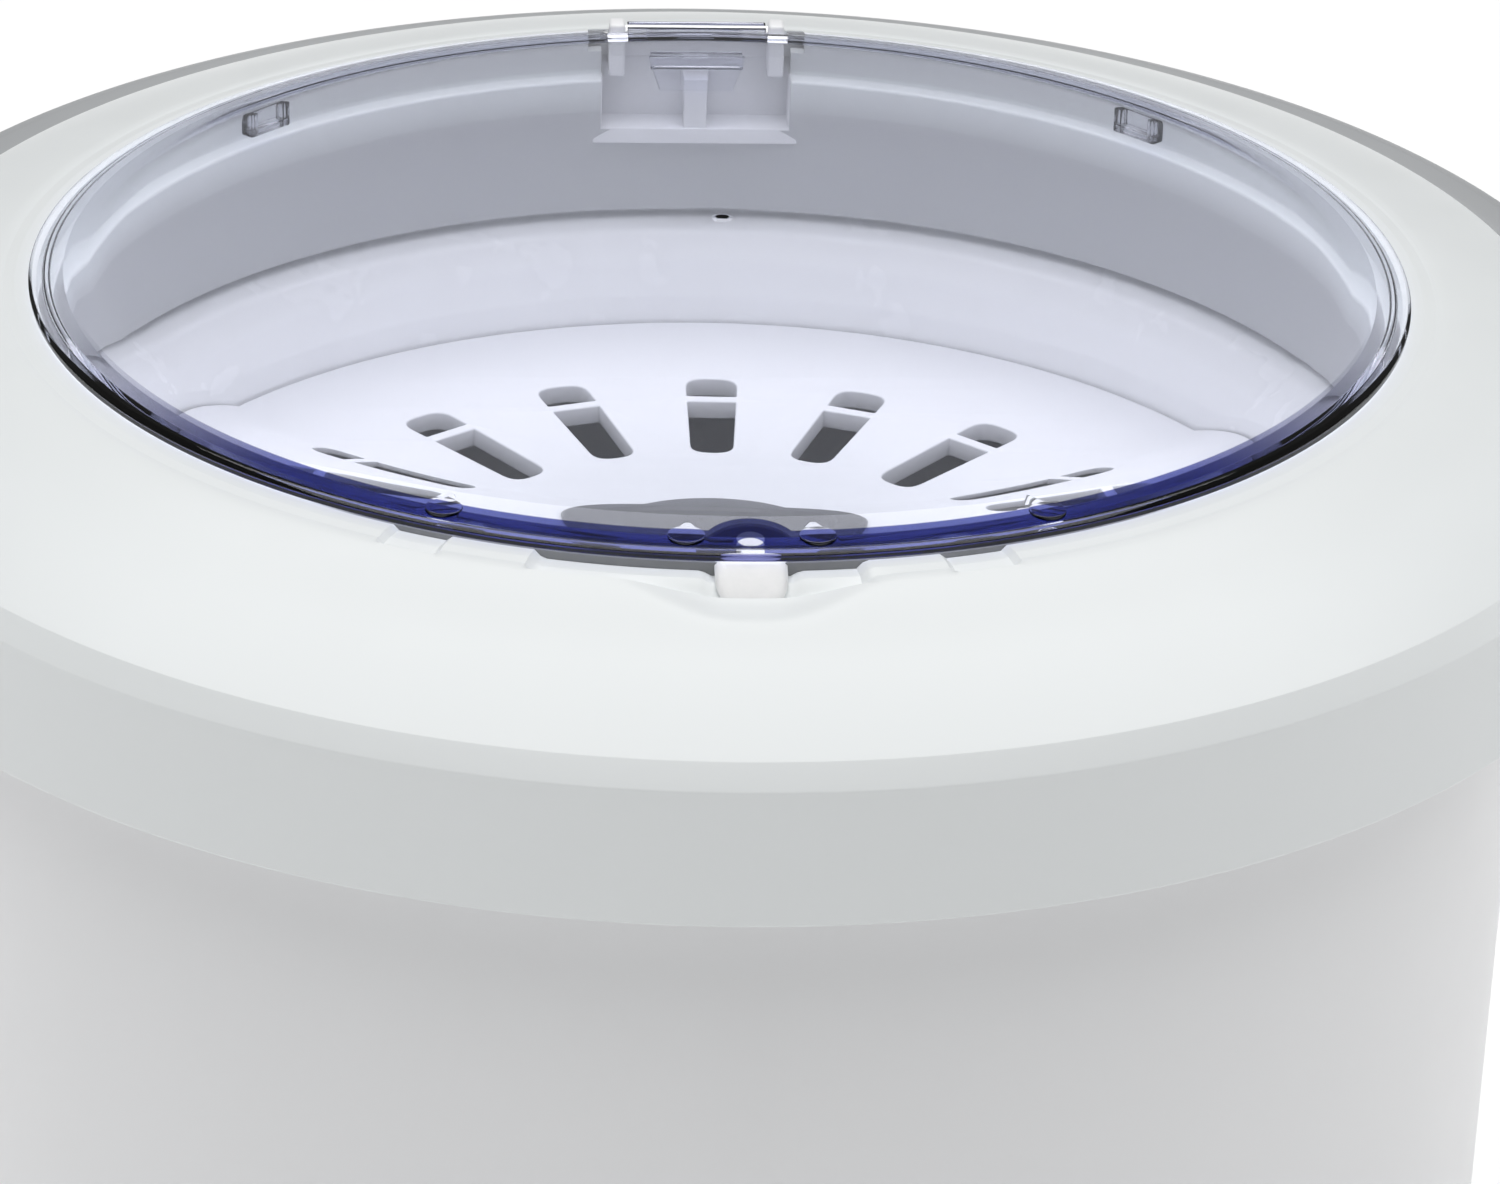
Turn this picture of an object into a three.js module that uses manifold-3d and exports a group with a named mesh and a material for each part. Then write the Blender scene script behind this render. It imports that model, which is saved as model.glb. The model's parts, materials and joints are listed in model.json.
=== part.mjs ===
// Portable mini washer: a round tub washer with a domed clear lid, a fold-flat carry handle,
// a slotted drain plate, and a belt-driven pulsator under the tub.
// Millimetres, +Z up. The origin is on the floor under the centre of the body.
// The front, with the lid's finger tab and the timer knob, faces -Y; the lid hinge is at +Y.

import * as THREE from 'three';
import { mergeVertices } from 'three/addons/utils/BufferGeometryUtils.js';
import Module from 'manifold-3d';

const wasm = await Module();
wasm.setup();

// ---- driving dimensions ----

const RIM_HEIGHT = 440; // floor to the outer top edge of the cover
const RIM_RADIUS = 180; // radius of that edge
const SKIRT_DROP = 30; // height of the cover's hanging skirt
const SKIRT_RADIUS = 184.7; // radius at the skirt's lower edge
const LID_RADIUS = 135.7;
const LID_RISE = 9; // rise of the dome above the lid's flange
const BODY_TOP_RADIUS = 164;
const BODY_BOTTOM_RADIUS = 160.4;
const BODY_BOTTOM = 34; // height of the body's lower edge
const WALL = 3; // moulded wall thickness
const GAP = 0.3; // clearance between pieces that touch
const FIT = 0.5; // clearance between turning or sliding pieces
const THROAT_RADIUS = 129.5; // opening in the cover
const COLLAR_RADIUS = 136.5; // the collar widens to this radius where it hangs into the tub
const TUB_RADIUS = 140; // tub's inside radius above its shoulder
const TUB_FLOOR = 172; // height of the tub's inside floor
const PLATE_RADIUS = 127.2;
const PLATE_TOP = RIM_HEIGHT - 52;
const PLATE_THICKNESS = 4.2;
const HUB_RADIUS = 27.8; // of the hub's plug; its rim is 4.5 wider
const PLATE_TURN = -2; // degrees that the plate is turned from the front-to-back line
const SLOT_COUNT = 18;
const SHAFT_RADIUS = 6;
const PULLEY_RADIUS = 60; // running radius of the large pulley
const PULLEY_RATIO = 4; // motor turns per pulsator turn
const MOTOR_OFFSET = 92; // from the pulsator's axis to the motor's axis
const BELT_HEIGHT = 7;
const BELT_THICKNESS = 2.8;
const BELT_LEVEL = 51.5; // height of the belt's middle
const TIMER_HEIGHT = 230;
const DRAIN_HEIGHT = 100;
const GLAND_HEIGHT = 80;
const FOOT_HEIGHT = 14.7;

// facets around a circle, from the largest pieces to the smallest
const FINE = 36;
const MEDIUM = 32;
const COARSE = 18;
const SMALL = 10;

// ---- values that follow from them ----

const BASE_BOTTOM = FOOT_HEIGHT + GAP;
const BASE_FLOOR = BASE_BOTTOM + 4;
const TUB_FLANGE_TOP = rim(-12);
const BODY_FLANGE_TOP = TUB_FLANGE_TOP - WALL - GAP;
const COVER_FOOT = TUB_FLANGE_TOP + GAP;
const LEDGE = PLATE_TOP - PLATE_THICKNESS - GAP;
const LID_FLANGE = rim(14.8);
const HINGE = { y: 133, z: rim(15), radius: 3, bore: 1.7, half: 15, ear: 3.5 };
const HANDLE = { inner: 168.6, outer: 182.2, bottom: rim(-8), top: rim(3.5), bore: 2.8 };
const HANDLE_AXIS = (HANDLE.bottom + HANDLE.top) / 2;
const HANDLE_STEP = { radius: 166.8, floor: rim(-8.5), front: -7 };
const MOTOR_PULLEY_RADIUS = PULLEY_RADIUS / PULLEY_RATIO;
const BRACKET_BOTTOM = 66;
const BRACKET_TOP = BRACKET_BOTTOM + WALL;
const PILLAR_TOP = 61.7;
const PILLARS = [[-52, 54], [52, 54], [-52, 126], [52, 126]];
const BASE_SCREWS = 3;
const BASE_SCREW_RADIUS = 151.5;
const COVER_SCREW_RADIUS = 150;
const HOUSING_SCREW_RADIUS = 26;
const HOUSING_FLANGE = { bottom: TUB_FLOOR - WALL - GAP - 5, top: TUB_FLOOR - WALL - GAP };
const PAD_TOP = TUB_FLOOR + 10;
const DRAIN_X = -85;
const CAPACITOR = [92, -46];
const FEET = { front_left: [-88, -88], front_right: [88, -88], rear_left: [-88, 88], rear_right: [88, 88] };
const NICHE = { half: 20.3, rib: 2.5, floor: rim(-7.5), top: rim(4.5), back: 138 };
const TONGUE = { top: 10.5, foot: 8, bottom: rim(2), front: 126.6, back: 128.4 };

// Height of a point given from the rim's edge.
function rim(height) {
  return RIM_HEIGHT + height;
}

// Outside radius of the tapered body at a height.
function bodyRadius(height) {
  const top = BODY_FLANGE_TOP - WALL;
  const share = (height - BODY_BOTTOM) / (top - BODY_BOTTOM);
  return BODY_BOTTOM_RADIUS + (BODY_TOP_RADIUS - BODY_BOTTOM_RADIUS) * share;
}

// ---- materials ----

function material(color, roughness, metalness = 0, opacity = 1) {
  return new THREE.MeshStandardMaterial({ color, roughness, metalness, opacity, transparent: opacity < 1 });
}

const whitePlastic = () => material(0xecefee, 0.38);
const bodyPlastic = () => material(0xdadbdc, 0.42);
const greyPlastic = () => material(0xa9adb0, 0.45);
const darkPlastic = () => material(0x4a4d52, 0.5);
const clearPlastic = () => material(0xc9cdec, 0.06, 0, 0.35);
const frostedPlastic = () => material(0xf2f4f5, 0.45, 0, 0.8);
const steel = () => material(0xb8bbbe, 0.3, 1);
const castMetal = () => material(0x8e9296, 0.55, 1);
const rubber = () => material(0x26272a, 0.85);

// ---- solids ----

// A closed surface with its shared vertices joined, as a solid for cutting and joining.
function toSolid(geometry) {
  const bare = geometry.clone();
  bare.deleteAttribute('normal');
  bare.deleteAttribute('uv');
  const merged = mergeVertices(bare, 1e-4);
  const vertices = new Float32Array(merged.attributes.position.array);
  const triangles = [];
  for (let i = 0; i < merged.index.count; i += 3) {
    const [a, b, c] = [0, 1, 2].map((k) => merged.index.getX(i + k));
    if (a !== b && b !== c && c !== a) triangles.push(a, b, c);
  }
  if (signedVolume(vertices, triangles) < 0) triangles.reverse();
  return new wasm.Manifold(
    new wasm.Mesh({ numProp: 3, vertProperties: vertices, triVerts: new Uint32Array(triangles) }),
  );
}

function signedVolume(vertices, triangles) {
  const corner = (i) => new THREE.Vector3().fromArray(vertices, 3 * triangles[i]);
  let volume = 0;
  for (let i = 0; i < triangles.length; i += 3) {
    volume += corner(i).dot(corner(i + 1).cross(corner(i + 2))) / 6;
  }
  return volume;
}

function toGeometry(solid) {
  const mesh = solid.getMesh();
  const geometry = new THREE.BufferGeometry();
  geometry.setAttribute('position', new THREE.BufferAttribute(new Float32Array(mesh.vertProperties), 3));
  geometry.setIndex(new THREE.BufferAttribute(new Uint32Array(mesh.triVerts), 1));
  geometry.computeVertexNormals();
  return geometry;
}

function join(...geometries) {
  return toGeometry(geometries.map(toSolid).reduce((whole, next) => whole.add(next)));
}

function cut(base, ...tools) {
  return toGeometry(tools.map(toSolid).reduce((whole, tool) => whole.subtract(tool), toSolid(base)));
}

function common(one, other) {
  return toGeometry(toSolid(one).intersect(toSolid(other)));
}

// A closed [radius, height] outline turned about Z.
function turned(outline, segments = FINE) {
  const points = outline.map(([radius, height]) => new THREE.Vector2(radius, height));
  points.push(points[0].clone());
  return toGeometry(toSolid(new THREE.LatheGeometry(points, segments).rotateX(Math.PI / 2)));
}

function cylinder(radius, bottom, top, x = 0, y = 0, segments = SMALL) {
  const rod = new THREE.CylinderGeometry(radius, radius, top - bottom, segments);
  return rod.rotateX(Math.PI / 2).translate(x, y, (bottom + top) / 2);
}

// A cylinder along X, between two x values.
function crossBar(radius, from, to, y, z, segments = SMALL) {
  const rod = new THREE.CylinderGeometry(radius, radius, to - from, segments);
  return rod.rotateZ(Math.PI / 2).translate((from + to) / 2, y, z);
}

// A cylinder along Y, between two y values.
function throughBar(radius, from, to, x, z, segments = SMALL) {
  const rod = new THREE.CylinderGeometry(radius, radius, to - from, segments);
  return rod.translate(x, (from + to) / 2, z);
}

// A box between two corners.
function block([x0, y0, z0], [x1, y1, z1]) {
  const box = new THREE.BoxGeometry(x1 - x0, y1 - y0, z1 - z0);
  return box.translate((x0 + x1) / 2, (y0 + y1) / 2, (z0 + z1) / 2);
}

// Everything behind a y value, as a box larger than the washer.
function behind(y) {
  return block([-300, y, -100], [300, 300, 700]);
}

// A flat outline pushed up from one height to another.
function raised(shape, bottom, top, curveSegments = SMALL) {
  const settings = { depth: top - bottom, bevelEnabled: false, curveSegments };
  return new THREE.ExtrudeGeometry(shape, settings).translate(0, 0, bottom);
}

function polar(radius, degrees) {
  const angle = THREE.MathUtils.degToRad(degrees);
  return [radius * Math.cos(angle), radius * Math.sin(angle)];
}

// The same tool repeated around Z, starting at an angle.
function around(count, startDegrees, make) {
  return Array.from({ length: count }, (_, i) => {
    const angle = THREE.MathUtils.degToRad(startDegrees + (360 * i) / count);
    return make().rotateZ(angle);
  });
}

const washer = new THREE.Group();

function add(name, geometry, look, [x, y, z] = [0, 0, 0]) {
  const mesh = new THREE.Mesh(geometry, look);
  mesh.name = name;
  mesh.position.set(x, y, z);
  washer.add(mesh);
}

// A pan-head screw pointing up: its head's underside is at height 0.
function screw(headRadius, headHeight, shankRadius, length) {
  return new THREE.LatheGeometry(
    [
      new THREE.Vector2(0, -headHeight),
      new THREE.Vector2(headRadius * 0.7, -headHeight),
      new THREE.Vector2(headRadius, -headHeight * 0.4),
      new THREE.Vector2(headRadius, 0),
      new THREE.Vector2(shankRadius, 0),
      new THREE.Vector2(shankRadius, length),
      new THREE.Vector2(0, length),
    ],
    8,
  ).rotateX(Math.PI / 2);
}

function closed(geometry) {
  return toGeometry(toSolid(geometry));
}

// ---- body and base ----

function bodyShell() {
  const inner = BODY_TOP_RADIUS - WALL;
  const flangeBottom = BODY_FLANGE_TOP - WALL;
  const shell = turned([
    [BODY_BOTTOM_RADIUS, BODY_BOTTOM],
    [BODY_TOP_RADIUS, flangeBottom],
    [178.5, flangeBottom],
    [178.5, BODY_FLANGE_TOP],
    [inner, BODY_FLANGE_TOP],
    [inner, flangeBottom],
    [BODY_BOTTOM_RADIUS - WALL, BODY_BOTTOM],
  ]);
  const bossTop = BODY_BOTTOM + 22;
  const bosses = around(BASE_SCREWS, 0, () => cylinder(7, BODY_BOTTOM, bossTop, BASE_SCREW_RADIUS));
  const pilots = around(BASE_SCREWS, 0, () => cylinder(2, BODY_BOTTOM - 1, bossTop - 5, BASE_SCREW_RADIUS));
  const vents = [-36, -28, -20, 20, 28, 36].map((degrees) =>
    block([140, -2, 92], [180, 2, 128]).rotateZ(THREE.MathUtils.degToRad(90 + degrees)),
  );
  return cut(
    join(shell, ...bosses),
    ...pilots,
    ...vents,
    throughBar(5, -180, -140, 0, TIMER_HEIGHT),
    throughBar(7.9, 140, 180, 0, GLAND_HEIGHT),
    crossBar(14, -180, -140, 0, DRAIN_HEIGHT, COARSE),
  );
}

function basePan() {
  const outer = BODY_BOTTOM_RADIUS;
  const top = BODY_BOTTOM - GAP;
  const dish = turned([
    [0, BASE_BOTTOM],
    [outer - 2, BASE_BOTTOM],
    [outer, BASE_BOTTOM + 3],
    [outer, top],
    [outer - WALL, top],
    [outer - WALL, BASE_FLOOR],
    [0, BASE_FLOOR],
  ]);
  const pillars = PILLARS.map(([x, y]) => cylinder(7, BASE_BOTTOM + 1, PILLAR_TOP, x, y));
  const socket = turned([[15.8, BASE_BOTTOM + 1], [18.5, BASE_BOTTOM + 1], [18.5, 31], [15.8, 31]], 20);
  const [capX, capY] = CAPACITOR;
  const slots = around(6, 30, () => block([44, -3, 0], [72, 3, 30]));
  const screwPads = around(BASE_SCREWS, 0, () => cylinder(7, BASE_BOTTOM + 1, top, BASE_SCREW_RADIUS));
  const screwHoles = around(BASE_SCREWS, 0, () => cylinder(2.4, 0, 40, BASE_SCREW_RADIUS));
  const pilots = PILLARS.map(([x, y]) => cylinder(2.3, 42, PILLAR_TOP + 1, x, y));
  return cut(
    join(dish, ...pillars, socket.translate(capX, capY, 0), ...screwPads),
    ...slots,
    ...screwHoles,
    ...pilots,
  );
}

function foot() {
  return turned([[0, 0], [13, 0], [15, 2], [15, 12], [13.5, FOOT_HEIGHT], [0, FOOT_HEIGHT]], 16);
}

// ---- top cover ----

function coverShell() {
  return turned([
    [THROAT_RADIUS, rim(-3)],
    [COLLAR_RADIUS, rim(-29)],
    [COLLAR_RADIUS + 2.7, rim(-29)],
    [THROAT_RADIUS + 2.8, rim(1)],
    [136.6, rim(1)],
    [136.6, rim(11.2)],
    [143, rim(10.4)],
    [165.5, rim(4.8)],
    [RIM_RADIUS - 2.5, rim(-2)],
    [RIM_RADIUS, rim(-6)],
    [SKIRT_RADIUS - WALL, rim(-SKIRT_DROP)],
    [SKIRT_RADIUS, rim(-SKIRT_DROP)],
    [RIM_RADIUS + 3.2, rim(-4.4)],
    [RIM_RADIUS, rim(0)],
    [174, rim(4.2)],
    [166.5, rim(8)],
    [155, rim(11.2)],
    [141.5, rim(13.5)],
    [137, rim(14.4)],
    [133.5, rim(13.2)],
    [133.5, rim(4)],
    [THROAT_RADIUS, rim(4)],
  ]);
}

// The step around the back half of the cover that the folded handle lies in.
function handleStep() {
  const band = turned([
    [163.8, rim(-11.5)],
    [RIM_RADIUS + 3, rim(-11.5)],
    [RIM_RADIUS + 3.2, rim(-4.4)],
    [RIM_RADIUS, rim(0)],
    [166.5, rim(8)],
    [163.8, rim(8.7)],
  ]);
  return common(band, behind(HANDLE_STEP.front - WALL));
}

function handleRecess() {
  const { radius, floor, front } = HANDLE_STEP;
  return common(turned([[radius, floor], [200, floor], [200, rim(20)], [radius, rim(20)]]), behind(front));
}

function handleBoss(side) {
  const ends = [side * 152, side * 165];
  return block([Math.min(...ends), -7, rim(-9)], [Math.max(...ends), 7, rim(6)]);
}

// A tray at the back of the throat, with two ears that hold the hinge pin, over a box for the niche.
function hingeTray() {
  const tray = block([-26.5, 133.8, rim(6)], [26.5, 140.4, rim(12)]);
  const half = NICHE.half + 2.2;
  const front = block([-half, 129, rim(-11)], [half, 134.5, rim(4)]);
  const rear = block([-half, 133.8, rim(-11)], [half, NICHE.back + 2.2, rim(7)]);
  return join(tray, front, rear);
}

// One half of the niche in the throat, which the lid's tongue hangs in front of.
function nicheHalf(side) {
  const ends = [side * NICHE.rib, side * NICHE.half];
  return block([Math.min(...ends), 120, NICHE.floor], [Math.max(...ends), NICHE.back, NICHE.top]);
}

function hingePocket() {
  return block([-23.5, 120, rim(9)], [23.5, 137.4, rim(30)]);
}

function hingeEar(x) {
  const { y, z, radius, ear, bore } = HINGE;
  const post = block([x, y - radius, rim(8)], [x + ear, y + radius, z]);
  const eye = crossBar(radius, x, x + ear, y, z, 16);
  return cut(join(post, eye), crossBar(bore, x - 1, x + ear + 1, y, z));
}

function fingerScoop() {
  const bowl = new THREE.SphereGeometry(1, 16, 8).rotateX(Math.PI / 2).scale(21, 13, 13);
  return bowl.translate(0, -141, rim(18));
}

function topCover() {
  const ribs = around(8, 22.5, () => block([136, -1.2, COVER_FOOT], [164.5, 1.2, rim(6)]));
  const bosses = around(4, 45, () => cylinder(5, COVER_FOOT, rim(8), COVER_SCREW_RADIUS));
  const pilots = around(4, 45, () => cylinder(1.8, rim(-20), rim(4), COVER_SCREW_RADIUS));
  const lugBottom = BODY_FLANGE_TOP - WALL - GAP - 3.5;
  const lugs = around(6, 30, () => block([177, -7, lugBottom], [182, 7, lugBottom + 3.5]));
  const whole = join(
    coverShell(),
    handleStep(),
    handleBoss(1),
    handleBoss(-1),
    hingeTray(),
    ...ribs,
    ...bosses,
    ...lugs,
  );
  const cleared = cut(
    whole,
    handleRecess(),
    hingePocket(),
    nicheHalf(1),
    nicheHalf(-1),
    fingerScoop(),
    crossBar(HANDLE.bore, -200, -155, 0, HANDLE_AXIS),
    crossBar(HANDLE.bore, 155, 200, 0, HANDLE_AXIS),
    ...pilots,
  );
  const earInside = HINGE.half + FIT;
  return join(cleared, hingeEar(earInside), hingeEar(-earInside - HINGE.ear));
}

// ---- lid ----

// Height of the dome's outer face at a radius.
function domeHeight(radius) {
  return LID_FLANGE + 2.2 + LID_RISE * (1 - (radius / LID_RADIUS) ** 2);
}

function lidShell() {
  const skin = 2.2;
  const radii = [40, 80, 110, 126];
  const outside = radii.map((radius) => [radius, domeHeight(radius)]);
  const inside = radii.map((radius) => [radius, domeHeight(radius) - skin]).reverse();
  return turned([
    [0, domeHeight(0)],
    ...outside,
    [LID_RADIUS - 0.6, LID_FLANGE + skin],
    [LID_RADIUS, LID_FLANGE + skin - 0.6],
    [LID_RADIUS, LID_FLANGE],
    [132.7, LID_FLANGE],
    [132.7, rim(6)],
    [130.5, rim(6)],
    [130.5, LID_FLANGE],
    ...inside,
    [0, domeHeight(0) - skin],
  ]);
}

function lid() {
  const { y, z, radius, half, ear, bore } = HINGE;
  const knuckle = crossBar(radius, -half, half, y, z, 16);
  const notches = [1, -1].map((side) => {
    const ends = [side * (half + 0.1), side * (half + FIT + ear + FIT)];
    return block([Math.min(...ends), 126, rim(0)], [Math.max(...ends), 140, rim(30)]);
  });
  const whole = join(lidShell(), knuckle, lidTongue());
  return cut(whole, crossBar(bore, -half - 1, half + 1, y, z), ...notches);
}

// A tapered tongue that hangs from the back of the lid's skirt.
function lidTongue() {
  const { top, foot, bottom, front, back } = TONGUE;
  const face = new THREE.Shape();
  face.moveTo(-top, rim(9.5));
  face.lineTo(-foot, bottom);
  face.lineTo(foot, bottom);
  face.lineTo(top, rim(9.5));
  const blade = raised(face, -back, -front).rotateX(Math.PI / 2);
  const shoulder = block([-top, front, rim(6.5)], [top, 131.5, rim(9.5)]);
  return join(blade, shoulder);
}

// The frosted tab under the lid's front edge: it slopes down into the finger scoop.
function fingerTab() {
  const side = new THREE.Shape([
    new THREE.Vector2(133.1, 14.4),
    new THREE.Vector2(136.4, 14.4),
    new THREE.Vector2(143.4, 11.2),
    new THREE.Vector2(143, 9.2),
    new THREE.Vector2(136.2, 12),
    new THREE.Vector2(133.1, 12),
  ]);
  const slab = new THREE.ExtrudeGeometry(side, { depth: 16, bevelEnabled: false })
    .rotateX(Math.PI / 2)
    .translate(0, 8, RIM_HEIGHT)
    .rotateZ(-Math.PI / 2);
  const plan = new THREE.Shape();
  plan.moveTo(-6.5, -130);
  plan.lineTo(-6.5, -138.5);
  plan.absarc(0, -138.5, 6.5, Math.PI, 2 * Math.PI, false);
  plan.lineTo(6.5, -130);
  return common(slab, raised(plan, rim(0), rim(20), 10));
}

// A guide clip inside the lid's skirt.
function lidClip() {
  const foot = block([126.4, -5.5, rim(7.4)], [129.6, 5.5, rim(12.4)]);
  return cut(foot, block([126, -1.5, rim(9.6)], [128.2, 1.5, rim(14)]));
}

// ---- handle ----

function handle() {
  const { inner, outer, bottom, top, bore } = HANDLE;
  const bail = common(
    turned([
      [inner, bottom + 1],
      [inner + 1, bottom],
      [outer - 1, bottom],
      [outer, bottom + 1],
      [outer, top - 2.5],
      [outer - 3, top],
      [inner + 2, top],
      [inner, top - 2],
    ]),
    behind(0),
  );
  const eyeRadius = (top - bottom) / 2;
  const eyes = [1, -1].map((side) => {
    const ends = [side * inner, side * (outer - 0.3)];
    return crossBar(eyeRadius, Math.min(...ends), Math.max(...ends), 0, HANDLE_AXIS, 20);
  });
  const bores = [[160, 190], [-190, -160]].map(([from, to]) => crossBar(bore, from, to, 0, HANDLE_AXIS));
  return cut(join(bail, ...eyes), ...bores);
}

// The pin through one end of the handle: its head is outside, at positive X.
function handlePin() {
  const shank = crossBar(HANDLE.bore - GAP, 156, 183, 0, 0);
  const head = crossBar(4.2, HANDLE.outer + GAP, HANDLE.outer + 2, 0, 0);
  return join(shank, head);
}

// ---- tub and drain plate ----

function washTub() {
  const floor = TUB_FLOOR;
  const under = floor - WALL;
  const shell = turned(
    [
      [SHAFT_RADIUS + 1.2, under],
      [SHAFT_RADIUS + 1.2, PAD_TOP - 8],
      [12, PAD_TOP - 8],
      [12, PAD_TOP],
      [30, PAD_TOP],
      [34, floor],
      [107, floor],
      [119, floor + 13],
      [124, LEDGE - 3],
      [124, LEDGE],
      [128, LEDGE],
      [128, rim(-46)],
      [129.4, rim(-38.6)],
      [133.5, rim(-33.2)],
      [TUB_RADIUS, rim(-30.6)],
      [TUB_RADIUS, TUB_FLANGE_TOP],
      [176.5, TUB_FLANGE_TOP],
      [176.5, TUB_FLANGE_TOP - WALL],
      [TUB_RADIUS + WALL, TUB_FLANGE_TOP - WALL],
      [TUB_RADIUS + WALL, rim(-33)],
      [133.5, rim(-38)],
      [131, rim(-46)],
      [131, LEDGE - 4],
      [127, LEDGE - 7],
      [122, floor + 12],
      [108.5, under],
    ],
    MEDIUM,
  );
  const stub = cylinder(9.5, 155, floor - 1, DRAIN_X, 0, 20);
  const drainHole = cylinder(7.5, 150, floor + 1, DRAIN_X, 0, 20);
  const pilots = around(3, 90, () => cylinder(1.8, under - 1, PAD_TOP - 3, HOUSING_SCREW_RADIUS));
  const coverHoles = around(4, 45, () => cylinder(2.4, rim(-20), rim(-8), COVER_SCREW_RADIUS));
  return cut(join(shell, stub), drainHole, ...pilots, ...coverHoles);
}

// One radial slot of the plate, as an outline along +X between two radii.
function slotOutline(from, to, roundInside, roundOutside) {
  const width = (radius) => 4.8 + 1.2 * ((radius - 58) / 39);
  const outline = new THREE.Path();
  const inside = width(from);
  const outside = width(to);
  const points = [];
  if (roundInside) {
    points.push([from + 2, inside], [from, inside * 0.5], [from, -inside * 0.5], [from + 2, -inside]);
  } else {
    points.push([from, inside], [from, -inside]);
  }
  if (roundOutside) {
    points.push([to - 2.4, -outside], [to, -outside * 0.5], [to, outside * 0.5], [to - 2.4, outside]);
  } else {
    points.push([to, -outside], [to, outside]);
  }
  outline.setFromPoints(points.map(([x, y]) => new THREE.Vector2(x, y)));
  return outline;
}

function turnedOutline(outline, degrees) {
  const angle = THREE.MathUtils.degToRad(degrees);
  const points = outline.getPoints().map((p) => p.rotateAround(new THREE.Vector2(), angle));
  return new THREE.Path(points);
}

function drainPlate() {
  const disc = new THREE.Shape();
  disc.absarc(0, 0, PLATE_RADIUS, 0, 2 * Math.PI, false);
  const hub = new THREE.Path();
  hub.absarc(0, 0, HUB_RADIUS + 0.5, 0, 2 * Math.PI, true);
  disc.holes.push(hub);
  const plate = raised(disc, PLATE_TOP - PLATE_THICKNESS, PLATE_TOP, MEDIUM / 2);
  const slots = [];
  for (let i = 0; i < SLOT_COUNT; i += 1) {
    const degrees = 90 + PLATE_TURN + (360 * i) / SLOT_COUNT;
    for (const outline of [slotOutline(58, 85, true, false), slotOutline(87, 97, false, true)]) {
      const hole = new THREE.Shape(turnedOutline(outline, degrees).getPoints());
      slots.push(raised(hole, PLATE_TOP - 10, PLATE_TOP + 5));
    }
  }
  return cut(plate, ...slots);
}

function plateHub() {
  return turned(
    [
      [0, PLATE_TOP - PLATE_THICKNESS],
      [HUB_RADIUS, PLATE_TOP - PLATE_THICKNESS],
      [HUB_RADIUS, PLATE_TOP + GAP],
      [HUB_RADIUS + 4.5, PLATE_TOP + GAP],
      [HUB_RADIUS + 3.5, PLATE_TOP + 2.4],
      [HUB_RADIUS - 3, PLATE_TOP + 3],
      [HUB_RADIUS - 8, PLATE_TOP + 1],
      [0, PLATE_TOP + 1],
    ],
    COARSE,
  );
}

// ---- drive ----

function pulsator() {
  const bottom = PAD_TOP + 2.5;
  const disc = turned(
    [
      [SHAFT_RADIUS + GAP, bottom],
      [96, bottom],
      [98, bottom + 2.5],
      [95, bottom + 5],
      [45, bottom + 6.5],
      [24, bottom + 13.5],
      [16, bottom + 17.5],
      [9, bottom + 17.5],
      [9, bottom + 15],
      [3, bottom + 15],
      [3, bottom + 12],
      [SHAFT_RADIUS + GAP, bottom + 12],
    ],
    24,
  );
  const fins = around(4, 0, () => {
    const fin = new THREE.SphereGeometry(1, 10, 6).rotateX(Math.PI / 2).scale(36, 8, 15);
    return fin.rotateZ(0.25).translate(56, 0, bottom + 3.5);
  });
  const belowDisc = block([-120, -120, bottom - 30], [120, 120, bottom]);
  const bore = cylinder(16, bottom - 1, bottom + 30, 0, 0, 24);
  return join(disc, cut(join(...fins), belowDisc, bore));
}

function driveShaft() {
  const bottom = 36;
  const top = PAD_TOP + 14.2;
  const threadFoot = top - 18;
  return turned(
    [
      [0, bottom],
      [SHAFT_RADIUS, bottom],
      [SHAFT_RADIUS, top],
      [2.8, top],
      [2.8, threadFoot],
      [0, threadFoot],
    ],
    20,
  );
}

function ring(inner, outer, bottom, top, segments = COARSE) {
  return turned([[inner, bottom], [outer, bottom], [outer, top], [inner, top]], segments);
}

function bearingHousing() {
  const { bottom, top } = HOUSING_FLANGE;
  const foot = 96;
  const shell = turned(
    [
      [13.2, foot],
      [13.2, foot + 12],
      [SHAFT_RADIUS + 0.8, foot + 12],
      [SHAFT_RADIUS + 0.8, 150],
      [13.2, 150],
      [13.2, top],
      [34, top],
      [34, bottom],
      [19, bottom],
      [19, foot],
    ],
    COARSE,
  );
  const holes = around(3, 90, () => cylinder(2.2, bottom - 1, top + 1, HOUSING_SCREW_RADIUS));
  return cut(shell, ...holes);
}

// A grooved pulley: its groove's floor lies inside the belt's running radius.
function pulley(runningRadius, boreRadius, hubRadius, hubTop) {
  const groove = runningRadius - 2;
  const lip = runningRadius + 2;
  const below = BELT_LEVEL - 7;
  const above = BELT_LEVEL + 7;
  return turned(
    [
      [boreRadius, below],
      [lip, below],
      [lip, below + 2],
      [groove, below + 3],
      [groove, above - 3],
      [lip, above - 2],
      [lip, above],
      [hubRadius, above],
      [hubRadius, hubTop],
      [boreRadius, hubTop],
    ],
    COARSE,
  );
}

function largePulley() {
  const windows = around(4, 45, () => cylinder(11, 30, 80, 34, 0, 10));
  const upperDish = ring(16, 50, BELT_LEVEL + 3, 80);
  return cut(pulley(PULLEY_RADIUS, SHAFT_RADIUS + GAP, 14, BELT_LEVEL + 9), ...windows, upperDish);
}

function pulleyNut() {
  return cut(cylinder(9, 38, BELT_LEVEL - 7 - GAP, 0, 0, 6), cylinder(SHAFT_RADIUS + GAP, 30, 60, 0, 0, 20));
}

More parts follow.
